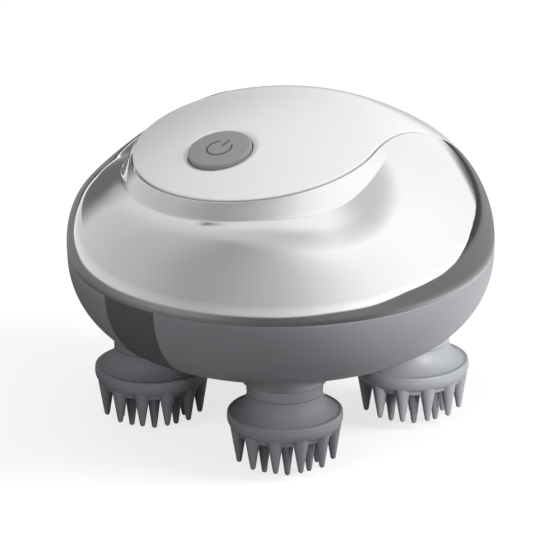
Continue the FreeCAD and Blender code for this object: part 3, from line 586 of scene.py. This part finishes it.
def bowlProfile(inset, baseSteps=50, cornerSteps=70):
    base, corner = body["baseRadius"] - inset, body["cornerRadius"] - inset
    meet = asin(body["bowlAt"] / (body["baseRadius"] - body["cornerRadius"]))
    flat = np.linspace(0, meet, baseSteps)
    bend = np.linspace(pi / 2 - meet, 0, cornerSteps)[1:]
    r = np.concatenate([base * np.sin(flat), body["bowlAt"] + corner * np.cos(bend)])
    z = np.concatenate([body["base"] + body["baseRadius"] - base * np.cos(flat),
                        body["parting"] - corner * np.sin(bend)])
    return np.stack([r, z], axis=1)


outerBowl = bowlProfile(0)


def bowlHeight(x, y):
    return np.interp(np.hypot(x, y), outerBowl[:, 0], outerBowl[:, 1])


def cutAway(piece, cutters):
    # exact subtraction, after which only the resulting mesh stays
    for cutter in cutters:
        modifier = piece.modifiers.new("cut", "BOOLEAN")
        modifier.operation = "DIFFERENCE"
        modifier.solver = "EXACT"
        modifier.object = cutter
    result = evaluatedMesh(piece)
    for item in [piece] + cutters:
        bpy.data.objects.remove(item)
    return result


strip = {"angle": 18.2, "aside": -1.5, "length": 25.0, "thickness": 1.2, "gap": 0.12, "edgeRound": 0.18,
         "edgeRows": 5, "columns": 41, "rows": 49}


def stripPatch(name, grow, rise, inset, edgeRound):
    # a slice of the bowl's wall on the front, from the parting line down the corner arc
    corner = body["cornerRadius"]
    half = radians(strip["angle"] / 2) + grow / body["radius"]
    swing = (strip["length"] + grow) / corner
    top = -rise / corner
    u, v = np.linspace(-1, 1, strip["columns"]), np.linspace(0, 1, strip["rows"])

    def sheet(depth, trim):
        turn = radians(strip["aside"]) + u[:, None] * (half - trim / body["radius"])
        dip = top + trim / corner + (swing - top - 2 * trim / corner) * v[None, :]
        r = body["bowlAt"] + (corner - depth) * np.cos(dip)
        z = body["parting"] - (corner - depth) * np.sin(dip)
        return np.stack([np.sin(turn) * r, -np.cos(turn) * r, np.broadcast_to(z, (len(u), len(v)))], axis=2)

    face, back = sheet(-inset[0], edgeRound), sheet(inset[1], 0)
    rings = []
    if edgeRound:
        for a in np.linspace(0, pi / 2, strip["edgeRows"])[1:]:
            rings.append(sheet(-inset[0] + edgeRound * (1 - cos(a)), edgeRound * (1 - sin(a))))
    lastU, lastV = len(u) - 1, len(v) - 1
    border = [(i, 0) for i in range(lastU)] + [(lastU, j) for j in range(lastV)]
    border += [(i, lastV) for i in range(lastU, 0, -1)] + [(0, j) for j in range(lastV, 0, -1)]
    loops = np.array([[sheetPoints[i, j] for i, j in border] for sheetPoints in [face] + rings + [back]])
    sides = [gridMesh("side", sheetPoints) for sheetPoints in (face, back)]
    return cleanUp(joined(name, sides + [gridMesh("edge", loops, wrapV=True)]))


def makeLowerHousing(form):
    inner = bowlProfile(form["wall"])
    level = body["parting"] - form["rimDrop"]
    rim = roundedPath([outerBowl[-2], (body["rim"], level, form["edgeRound"]),
                       (body["rim"] - form["wall"], level)])
    path = np.vstack([outerBowl[:-3], rim[1:], inner[::-1][2:]])
    piece = putIn("lowerHousing", cleanUp(spun("lowerHousing", path, form["segments"])))
    cutters = []
    corners = [(0, form["boreFoot"]), (form["bore"], form["boreFoot"]), (form["bore"], form["bossEnd"]),
               (0, form["bossEnd"])]
    for x, y in headSpots:
        tube = spun("bore", np.array(corners), form["boreSegments"])
        tube.transform(Matrix.Translation((x * mm, y * mm, 0)))
        cutters.append(putIn("bore", cleanUp(tube)))
    outward = form["recessOut"]
    recess = stripPatch("recess", strip["gap"], outward, (outward, strip["thickness"] + strip["gap"]), 0)
    cutters.append(putIn("recess", recess))
    mouth = bmesh.new()
    shape = Matrix.Translation([v * mm for v in form["mouthPlace"]]) @ Matrix.Diagonal(
        [v * mm for v in form["mouthSize"]] + [1])
    bmesh.ops.create_cube(mouth, size=1, matrix=shape)
    cutters.append(putIn("mouth", meshFrom("mouth", mouth)))
    shell = cutAway(piece, cutters)
    return joined("lowerHousing", [shell] + [makeBoss(form, x, y) for x, y in headSpots])


def makeBoss(form, x, y):
    # skirt round one head's column, flowing into the bowl; its end drops where the bowl is low
    loops = []
    for turn in np.linspace(0, 2 * pi, form["bossSegments"], endpoint=False):
        ux, uy = cos(turn), sin(turn)

        def under(distance):
            return float(bowlHeight(x + distance * ux, y + distance * uy))

        level = under(form["bore"])
        end = min(form["bossEnd"], max(level - form["skirtDrop"], form["skirtLowest"]), level - form["least"])
        opened = float(ease((form["bossEnd"] - end) / form["openOver"]))
        inner = form["seat"] + (form["bore"] - form["seat"]) * opened
        tip = form["bossTip"] + (form["bore"] + form["skirtWall"] - form["bossTip"]) * opened
        meet = tip
        for k in range(form["meetTries"]):
            meet = tip + form["bossFlare"] * max(under(meet) - end, 0)
        top = under(meet)
        tall = max(top - end, form["least"])
        soft = min(form["bossFillet"], tall * form["filletShare"])
        low = np.array((meet - form["bossFlare"] * soft, top - soft))
        far = np.array((meet + soft, under(meet + soft)))
        bend = bowed(low, np.array((meet, top)), far, form["filletSteps"])
        edge = min(form["lipEdge"], tall * form["lipShare"])
        lip = roundedPath([(inner, end + form["lipTall"]), (inner, end, edge * form["lipInner"]),
                           (tip, end, edge), low], form["lipSteps"])
        sunk = np.array((far[0] + form["sink"], under(far[0] + form["sink"]) + form["least"]))
        root = max(sunk[1] + form["rootInner"], end + form["rootLeast"])
        back = [sunk, sunk + (0, form["rootTall"]), np.array((inner, root))]
        path = np.vstack([lip[:-1], bend, back])
        loops.append(np.stack([x + path[:, 0] * ux, y + path[:, 0] * uy, path[:, 1]], axis=1))
    return cleanUp(gridMesh("boss", np.array(loops), wrapU=True, wrapV=True))


addPiece("lowerHousing", makeLowerHousing(bowl), finishes["bowlGrey"], "housing", ["lower_housing"])
addPiece("portCover", stripPatch("portCover", 0, 0, (0, strip["thickness"]), strip["edgeRound"]),
         finishes["stripRubber"], "strip", ["port_cover"])
print("lower housing and port cover made")

# brush heads: hub, flange, and teeth set out by geometry nodes
hub = {"radius": 9.9, "foot": 9.75, "top": 23.04, "columnBottom": 20.1, "neck": 7.7, "plateRadius": 11.0,
       "plateBottom": 12.2, "plateTop": 14.2, "edge": 0.15, "bore": 2.5, "boreFloor": 13.2, "fit": 0.02,
       "segments": 128}
brush = {"collar": 9.7, "collarTop": 20.0, "collarEdge": 0.2, "flareAt": 10.4, "flareLevel": 16.2,
         "flareSteps": 24, "lipInner": 13.6, "lipDip": 14.88, "lipTop": 15.02, "lipRound": 0.55,
         "lipSteps": 8, "rim": 14.75, "rimLevel": 14.1, "rimRound": 3.6, "rimSteps": 14, "rimFrom": 3,
         "floor": 11.1, "floorRadius": 14.0, "floorEdge": 13.95, "floorRound": 0.35, "pad": 12.9,
         "padTop": 13.0, "padFloor": 9.5, "padEdge": 0.5, "roundSteps": 5, "outerCount": 12,
         "outerCircle": 12.4, "outerTip": 2.1, "innerCount": 8, "innerCircle": 8.05, "innerTip": 0.0,
         "toothBase": 2.15, "toothTip": 0.7, "toothRoot": 0.5, "toothSides": 16, "toothRings": 18,
         "phase": 2.0}
toothLengths = ("floor", "toothRoot", "toothBase", "toothTip", "outerCircle", "outerTip", "innerCircle",
                "innerTip")
toothCounts = ("outerCount", "innerCount", "toothSides", "toothRings")


def arcPoints(first, last, radius, steps):
    # short arc bulging to the right of travel from first to last
    first, last = np.array(first, float), np.array(last, float)
    chord = last - first
    length = np.linalg.norm(chord)
    left = np.array((-chord[1], chord[0])) / length
    middle = (first + last) / 2 + left * sqrt(radius ** 2 - length ** 2 / 4)
    half = asin(length / 2 / radius)
    along = atan2(*(first - middle)[::-1])
    turns = [along + 2 * half * k / steps for k in range(steps + 1)]
    return [middle + radius * np.array((cos(a), sin(a))) for a in turns]


def makeHub(form):
    soft = form["edge"]
    path = roundedPath([(0, form["plateBottom"]), (form["plateRadius"], form["plateBottom"], soft),
                        (form["plateRadius"], form["plateTop"], soft), (form["neck"], form["plateTop"]),
                        (form["neck"], form["columnBottom"]), (form["foot"], form["columnBottom"], soft),
                        (form["radius"], form["top"], soft), (form["bore"], form["top"]),
                        (form["bore"], form["boreFloor"]), (0, form["boreFloor"])])
    return cleanUp(spun("headHub", path, form["segments"]))


def makeFlange(form):
    band = arcPoints((form["floorRadius"], form["floor"]), (form["rim"], form["rimLevel"]), form["rimRound"],
                     form["rimSteps"])[form["rimFrom"]:]
    lip = roundedPath([tuple(band[-1]), (form["rim"], form["lipTop"], form["lipRound"]),
                       (form["lipInner"], form["lipDip"])], form["lipSteps"])
    foot = roundedPath([(0, form["padFloor"]), (form["pad"], form["padFloor"], form["padEdge"]),
                        (form["padTop"], form["floor"]),
                        (form["floorEdge"], form["floor"], form["floorRound"]), tuple(band[0])],
                       form["roundSteps"])
    bend = np.array([(form["lipInner"], form["lipDip"]), (form["flareAt"], form["flareLevel"]),
                     (form["collar"], form["collarTop"] - 2 * form["collarEdge"])])
    flare = bowed(*bend, form["flareSteps"])
    neck, plate = hub["neck"] + hub["fit"], hub["plateRadius"] + hub["fit"]
    collar = roundedPath([tuple(bend[2]), (form["collar"], form["collarTop"], form["collarEdge"]),
                          (neck, form["collarTop"])], form["roundSteps"])
    inside = [(neck, hub["plateTop"]), (plate, hub["plateTop"]), (plate, hub["plateBottom"]),
              (0, hub["plateBottom"])]
    path = np.vstack([foot[:-1], band, lip[1:], flare[1:], collar[1:], inside])
    return cleanUp(spun("brushHead", path, hub["segments"]))


def makeToothTree():
    tree = bpy.data.node_groups.new("brushTeeth", "GeometryNodeTree")
    face, links = tree.interface, tree.links
    for kind, names in (("Geometry", ["Geometry"]), ("Float", toothLengths), ("Int", toothCounts),
                        ("Material", ["finish"])):
        for name in names:
            face.new_socket(name, in_out="INPUT", socket_type="NodeSocket" + kind)
    face.new_socket("Geometry", in_out="OUTPUT", socket_type="NodeSocketGeometry")
    given, end = tree.nodes.new("NodeGroupInput").outputs, tree.nodes.new("NodeGroupOutput")
    join = addNode(tree, "GeometryNodeJoinGeometry", {"Geometry": given["Geometry"]})

    def add(kind, inputs):
        return addNode(tree, kind, inputs).outputs[0]

    def work(operation, a, b=0.0):
        return mathOn(tree, operation, a, b)

    def upright(height):
        return add("ShaderNodeCombineXYZ", {"Z": height})

    def tooth(tip):
        # a cone on its own axis, points crowded towards the round tip
        root = work("ADD", given["floor"], given["toothRoot"])
        length = work("SUBTRACT", root, tip)
        line = add("GeometryNodeCurvePrimitiveLine", {"Start": upright(root), "End": upright(tip)})
        fine = add("GeometryNodeResampleCurve", {"Count": given["toothRings"], "Curve": line})
        index = tree.nodes.new("GeometryNodeSplineParameter").outputs["Index"]
        left = work("SUBTRACT", 1.0, work("DIVIDE", index, work("SUBTRACT", given["toothRings"], 1.0)))
        away = work("MULTIPLY", work("MULTIPLY", left, left), length)
        axis = add("GeometryNodeSetPosition", {"Geometry": fine, "Position": upright(work("ADD", tip, away))})
        blunt, base = given["toothTip"], given["toothBase"]
        near = work("MINIMUM", away, blunt)
        ball = work("SQRT", work("MULTIPLY", near, work("SUBTRACT", work("ADD", blunt, blunt), near)))
        slope = work("DIVIDE", work("SUBTRACT", base, blunt), work("SUBTRACT", length, blunt))
        cone = work("MULTIPLY", work("MAXIMUM", work("SUBTRACT", away, blunt), 0.0), slope)
        ring = add("GeometryNodeCurvePrimitiveCircle", {"Radius": 1.0, "Resolution": given["toothSides"]})
        return add("GeometryNodeCurveToMesh", {"Curve": axis, "Profile Curve": ring, "Fill Caps": True,
                                               "Scale": work("ADD", ball, cone)})

    def row(count, circle, tip):
        spots = add("GeometryNodeMeshCircle", {"Vertices": count, "Radius": circle})
        placed = add("GeometryNodeInstanceOnPoints", {"Points": spots, "Instance": tooth(tip)})
        links.new(placed, join.inputs["Geometry"])

    row(given["outerCount"], given["outerCircle"], given["outerTip"])
    row(given["innerCount"], given["innerCircle"], given["innerTip"])
    links.new(tooth(given["innerTip"]), join.inputs["Geometry"])
    real = add("GeometryNodeRealizeInstances", {"Geometry": join.outputs["Geometry"]})
    done = add("GeometryNodeSetMaterial", {"Geometry": real, "Material": given["finish"]})
    links.new(done, end.inputs["Geometry"])
    return tree


def makeBrush(form):
    piece = putIn("brushMaster", makeFlange(form))
    tree = makeToothTree()
    modifier = piece.modifiers.new("teeth", "NODES")
    modifier.node_group = tree
    values = {name: form[name] * mm for name in toothLengths}
    values.update({name: form[name] for name in toothCounts})
    values["finish"] = finishes["brushSilicone"]
    for item in tree.interface.items_tree:
        if item.in_out == "INPUT" and item.name in values:
            modifier[item.identifier] = values[item.name]
    mesh = evaluatedMesh(piece)
    modifier.node_group = None
    piece.modifiers.clear()
    bpy.data.objects.remove(piece)
    return cleanUp(mesh)


hubMesh, brushMesh = makeHub(hub), makeBrush(brush)
for number, (x, y) in enumerate(headSpots, 1):
    place = Matrix.Translation((x * mm, y * mm, 0))
    hubCopy, brushCopy = hubMesh.copy(), brushMesh.copy()
    hubCopy.transform(place)
    brushCopy.transform(place @ Matrix.Rotation(radians(brush["phase"]), 4, "Z"))
    addPiece("headHub%d" % number, hubCopy, finishes["hubGrey"], "head_%d" % number,
             ["head_hub_%d" % number])
    addPiece("brushHead%d" % number, brushCopy, finishes["brushSilicone"], "head_%d" % number,
             ["brush_head_%d" % number])
print("brush heads made")

# inner pieces keep their CAD shapes and get finishes
innerFinishes = {
    "seal_black": "sealBlack", "inner_black": "innerBlack", "gear_nylon": "gearNylon",
    "board_green": "boardGreen", "steel": "screwSteel", "bearing_brass": "bearingBrass",
    "gearbox_alloy": "gearboxAlloy", "cell_wrap": "cellSleeve",
}
for entry in frame["record"]["subparts"]:
    name = innerFinishes.get(entry["material_slot"])
    if name:
        materials = frame["nodes"][entry["node"]].data.materials
        materials.clear()
        materials.append(finishes[name])
print("inner pieces finished")

# stage: pale floor, and a light tent that only gloss and metal see
view = {"azimuth": 43.87, "elevation": 21.11, "distance": 1.9534, "aside": -0.00027, "aim": 0.03716,
        "roll": -0.59, "lens": 487.7, "sensor": 36, "clipEnd": 50}
stage = {"floorSize": 8.0, "floorShade": 0.32, "floorGlow": 0.74, "floorPale": 0.60, "floorRough": 0.9,
         "tentRadius": 2.6, "tentStrength": 1.39, "topTone": 0.52, "topFrom": 62,
         "nearFloor": 0.105, "farFloor": 0.165, "flagNear": 0.166, "flagFar": 0.184, "flagGlow": 0.25,
         "horizonFrom": 0.35, "horizonTo": 0.7, "horizonTone": 0.05, "darkTone": 0.13,
         "clothFrom": 0.01, "domeRows": 25, "discLevel": 0.4}
# dark gaps in the tent: degrees right, degrees up, outer and inner half width
tentGaps = {"backLeft": (-157, 11, 29, 9), "backRight": (152, -6, 17, 7),
            "highLeft": (-156.5, 56.3, 3.6, 0.5)}
# tones by degrees to the right of the camera: the cloth, the floor close by (painted shade of the object on
# the floor, lighter towards the right) and the floor further out
tentTones = [(-180, 0.75), (-150, 0.60), (-105, 0.48), (-75, 0.41), (-45, 0.32), (-15, 0.39), (0, 0.46),
             (15, 0.58), (30, 0.73), (45, 0.86), (75, 0.96), (120, 0.93), (165, 0.85), (180, 0.75)]
nearShadeTones = [(-180, 0.16), (-120, 0.06), (-60, 0.10), (0, 0.07), (40, 0.10), (65, 0.24), (100, 0.43),
             (140, 0.46), (180, 0.16)]
farTones = [(-180, 0.15), (-105, 0.12), (-45, 0.16), (-10, 0.08), (30, 0.13), (70, 0.13), (110, 0.15),
            (150, 0.18), (180, 0.15)]
# by the same degrees: the dark floor ends at flagNear divided by this
flagReach = [(-180, 0.15), (-150, 0.25), (-138, 0.6), (-120, 0.88), (-90, 1.0), (0, 1.0), (20, 0.93),
             (45, 0.84), (60, 0.66), (75, 0.57), (90, 0.5), (103, 0.36), (118, 0.15), (128, 0.063),
             (168, 0.063), (180, 0.15)]


def towards(azimuth, elevation):
    a, e = radians(azimuth), radians(elevation)
    return Vector((sin(a) * cos(e), -cos(a) * cos(e), sin(e)))


def seenPlainly(tree):
    # camera, glossy and transmission rays
    rays = tree.nodes.new("ShaderNodeLightPath").outputs
    direct = mathOn(tree, "MAXIMUM", rays["Is Camera Ray"], rays["Is Glossy Ray"])
    return mathOn(tree, "MAXIMUM", direct, rays["Is Transmission Ray"])


def chooseSeen(tree, hidden, seen, end):
    # seen by camera, glossy and transmission rays; hidden is for the others
    choose = addNode(tree, "ShaderNodeMixShader", {"Fac": seenPlainly(tree), 1: hidden, 2: seen})
    fill(tree, tree.nodes[end], {"Surface": choose.outputs["Shader"]})


def makeFloor(form):
    half = form["floorSize"] / 2
    mesh = bpy.data.meshes.new("floor")
    corners = [(-half, -half, 0), (half, -half, 0), (half, half, 0), (-half, half, 0)]
    mesh.from_pydata(corners, [], [(0, 1, 2, 3)])
    floor = putIn("floor", mesh)
    finish, tree = newFinish("paleFloor")
    plain = fill(tree, tree.nodes["Principled BSDF"], {
        "Base Color": grey(form["floorPale"]), "Roughness": form["floorRough"], "Specular IOR Level": 0.0})
    paper = addNode(tree, "ShaderNodeBsdfDiffuse", {"Color": grey(form["floorShade"])})
    glow = addNode(tree, "ShaderNodeEmission", {"Strength": form["floorGlow"]})
    both = addNode(tree, "ShaderNodeAddShader", {0: paper.outputs["BSDF"], 1: glow.outputs["Emission"]})
    chooseSeen(tree, plain.outputs["BSDF"], both.outputs["Shader"], "Material Output")
    mesh.materials.append(finish)


def tonesByTurn(tree, turn, stops):
    ramp = addNode(tree, "ShaderNodeValToRGB", {"Fac": turn})
    ramp.color_ramp.interpolation = "CARDINAL"
    points = ramp.color_ramp.elements
    while len(points) < len(stops):
        points.new(0.5)
    for point, (angle, tone) in zip(points, stops):
        point.position = (angle + 180) / 360
        point.color = grey(tone)
    return ramp.outputs["Color"]


def smoothRange(tree, value, low, high):
    return mapRange(tree, value, low, high, kind="SMOOTHSTEP")


def nearness(tree, place, form, turn, rise, outer, inner):
    # 1 within inner degrees of a direction, 0 beyond outer degrees
    aim = towards(view["azimuth"] + turn, rise) / form["tentRadius"]
    facing = addNode(tree, "ShaderNodeVectorMath", {0: place, 1: aim}, operation="DOT_PRODUCT")
    low, high = cos(radians(outer)), cos(radians(inner))
    return smoothRange(tree, facing.outputs["Value"], low, high)


def makeTent(form):
    # a dome of pale cloth on a floor disc that is dark near the object; close by, the disc carries painted
    # shade of the object, lighter towards the right
    finish, tree = newFinish("tentCloth")
    tree.nodes.remove(tree.nodes["Principled BSDF"])
    place = objectPlace(tree)
    rotation = (0, 0, radians(90 - view["azimuth"]))
    turned = addNode(tree, "ShaderNodeMapping", {"Vector": place, "Rotation": rotation})
    inputs = {"Vector": turned.outputs["Vector"]}
    turn = addNode(tree, "ShaderNodeTexGradient", inputs, gradient_type="RADIAL").outputs["Fac"]
    x, y, z = addNode(tree, "ShaderNodeSeparateXYZ", {"Vector": place}).outputs
    square = mathOn(tree, "ADD", mathOn(tree, "POWER", x, 2.0), mathOn(tree, "POWER", y, 2.0))
    distance = mathOn(tree, "SQRT", square)
    topFrom = form["tentRadius"] * sin(radians(form["topFrom"]))
    overhead = smoothRange(tree, z, topFrom, form["tentRadius"])
    cloth = blend(tree, overhead, tonesByTurn(tree, turn, tentTones), grey(form["topTone"]))
    for gap in tentGaps.values():
        cloth = blend(tree, nearness(tree, place, form, *gap), cloth, grey(form["darkTone"]))
    # painted shade: the floor close to the object gets darker tones than further out, lighter towards the
    # right; only gloss and metal see it
    ground = blend(tree, smoothRange(tree, distance, form["nearFloor"], form["farFloor"]),
                   tonesByTurn(tree, turn, nearShadeTones), tonesByTurn(tree, turn, farTones))
    ground = blend(tree, smoothRange(tree, distance, form["horizonFrom"], form["horizonTo"]), ground,
                   grey(form["horizonTone"]))
    reach = mathOn(tree, "MULTIPLY", distance, tonesByTurn(tree, turn, flagReach))
    paper = smoothRange(tree, reach, form["flagNear"], form["flagFar"])
    rest = smoothRange(tree, reach, form["flagFar"], 2 * form["flagFar"])
    high = mathOn(tree, "GREATER_THAN", z, form["clothFrom"])
    fall = mathOn(tree, "MULTIPLY", mathOn(tree, "MAXIMUM", rest, high), -form["flagGlow"])
    glow = mathOn(tree, "ADD", fall, 1 + form["flagGlow"])
    light = addNode(tree, "ShaderNodeEmission", {
        "Strength": mathOn(tree, "MULTIPLY", glow, form["tentStrength"]),
        "Color": blend(tree, mathOn(tree, "MAXIMUM", paper, high), ground, cloth)})
    fill(tree, tree.nodes["Material Output"], {"Surface": light.outputs["Emission"]})
    radius, arc = form["tentRadius"] / mm, np.linspace(0, pi / 2, form["domeRows"])
    dome = np.stack([radius * np.cos(arc), radius * np.sin(arc)], axis=1)
    disc = [(0, form["discLevel"]), (radius, form["discLevel"])]
    tent = putIn("tent", cleanUp(spun("tent", np.vstack([disc, dome[1:]]))))
    tent.data.materials.append(finish)
    for rays in ("camera", "diffuse", "transmission", "volume_scatter", "shadow"):
        setattr(tent, "visible_" + rays, False)


makeFloor(stage)
makeTent(stage)

sky = {"light": 0.25, "white": 1.0}
world = bpy.data.worlds.new("studio")
scene.world = world
world.use_nodes = True
skyTree = world.node_tree
dimSky = fill(skyTree, skyTree.nodes["Background"], {"Color": grey(1.0), "Strength": sky["light"]})
whiteSky = addNode(skyTree, "ShaderNodeBackground", {"Color": grey(1.0), "Strength": sky["white"]})
chooseSeen(skyTree, dimSky.outputs["Background"], whiteSky.outputs["Background"], "World Output")

# lamps by degrees to the right of the camera and above the floor; power in watts
lamps = {
    "keyRight": {"turn": 80, "rise": 32, "away": 1.5, "size": 0.8, "power": 20},
    "frontFill": {"turn": -35, "rise": 35, "away": 1.6, "size": 1.0, "power": 9},
    "rimRight": {"turn": 91, "rise": 5, "away": 1.3, "size": 0.7, "power": 43, "only": "bowlPieces"},
    "headSide": {"turn": 105, "rise": 6, "away": 1.3, "size": 0.4, "power": 14, "only": "heads"},
    "headFront": {"turn": 30, "rise": 4, "away": 1.3, "size": 0.25, "power": 6, "only": "heads"},
    "rightHead": {"turn": 40, "rise": 22, "away": 1.3, "size": 0.6, "power": 34, "only": "rightHead",
                  "inGloss": True},
    "topSoft": {"turn": 0, "rise": 88, "away": 1.5, "size": 1.2, "power": 4},
}
lampAim = Vector((0, 0, 0.045))
lampGroups = {"bowlPieces": ("lowerHousing", "portCover"), "heads": ("headHub", "brushHead"),
              "rightHead": ("headHub2", "brushHead2")}
for groupName, starts in lampGroups.items():
    lit = bpy.data.collections.new(groupName)
    for piece in scene.objects:
        if piece.name.startswith(starts):
            lit.objects.link(piece)
for name, lamp in lamps.items():
    light = bpy.data.lights.new(name, "AREA")
    light.shape = "DISK"
    light.size = lamp["size"]
    light.energy = lamp["power"]
    holder = putIn(name, light)
    holder.location = lampAim + towards(view["azimuth"] + lamp["turn"], lamp["rise"]) * lamp["away"]
    holder.rotation_euler = (lampAim - holder.location).to_track_quat("-Z", "Y").to_euler()
    holder.visible_glossy = lamp.get("inGloss", False)
    if "only" in lamp:
        holder.light_linking.receiver_collection = bpy.data.collections[lamp["only"]]
print("stage and lamps set")


# camera at the photograph's angle
def setCamera(form):
    a, roll = radians(form["azimuth"]), radians(form["roll"])
    back = towards(form["azimuth"], form["elevation"])
    right = Vector((cos(a), sin(a), 0))
    up = back.cross(right)
    across = right * cos(roll) + up * sin(roll)
    upward = up * cos(roll) - right * sin(roll)
    data = bpy.data.cameras.new("camera")
    data.lens = form["lens"]
    data.sensor_width = form["sensor"]
    data.clip_end = form["clipEnd"]
    camera = putIn("camera", data)
    camera.matrix_world = Matrix((across, upward, back)).transposed().to_4x4()
    camera.location = right * form["aside"] + Vector((0, 0, form["aim"])) + back * form["distance"]
    scene.camera = camera


setCamera(view)
print("camera set")
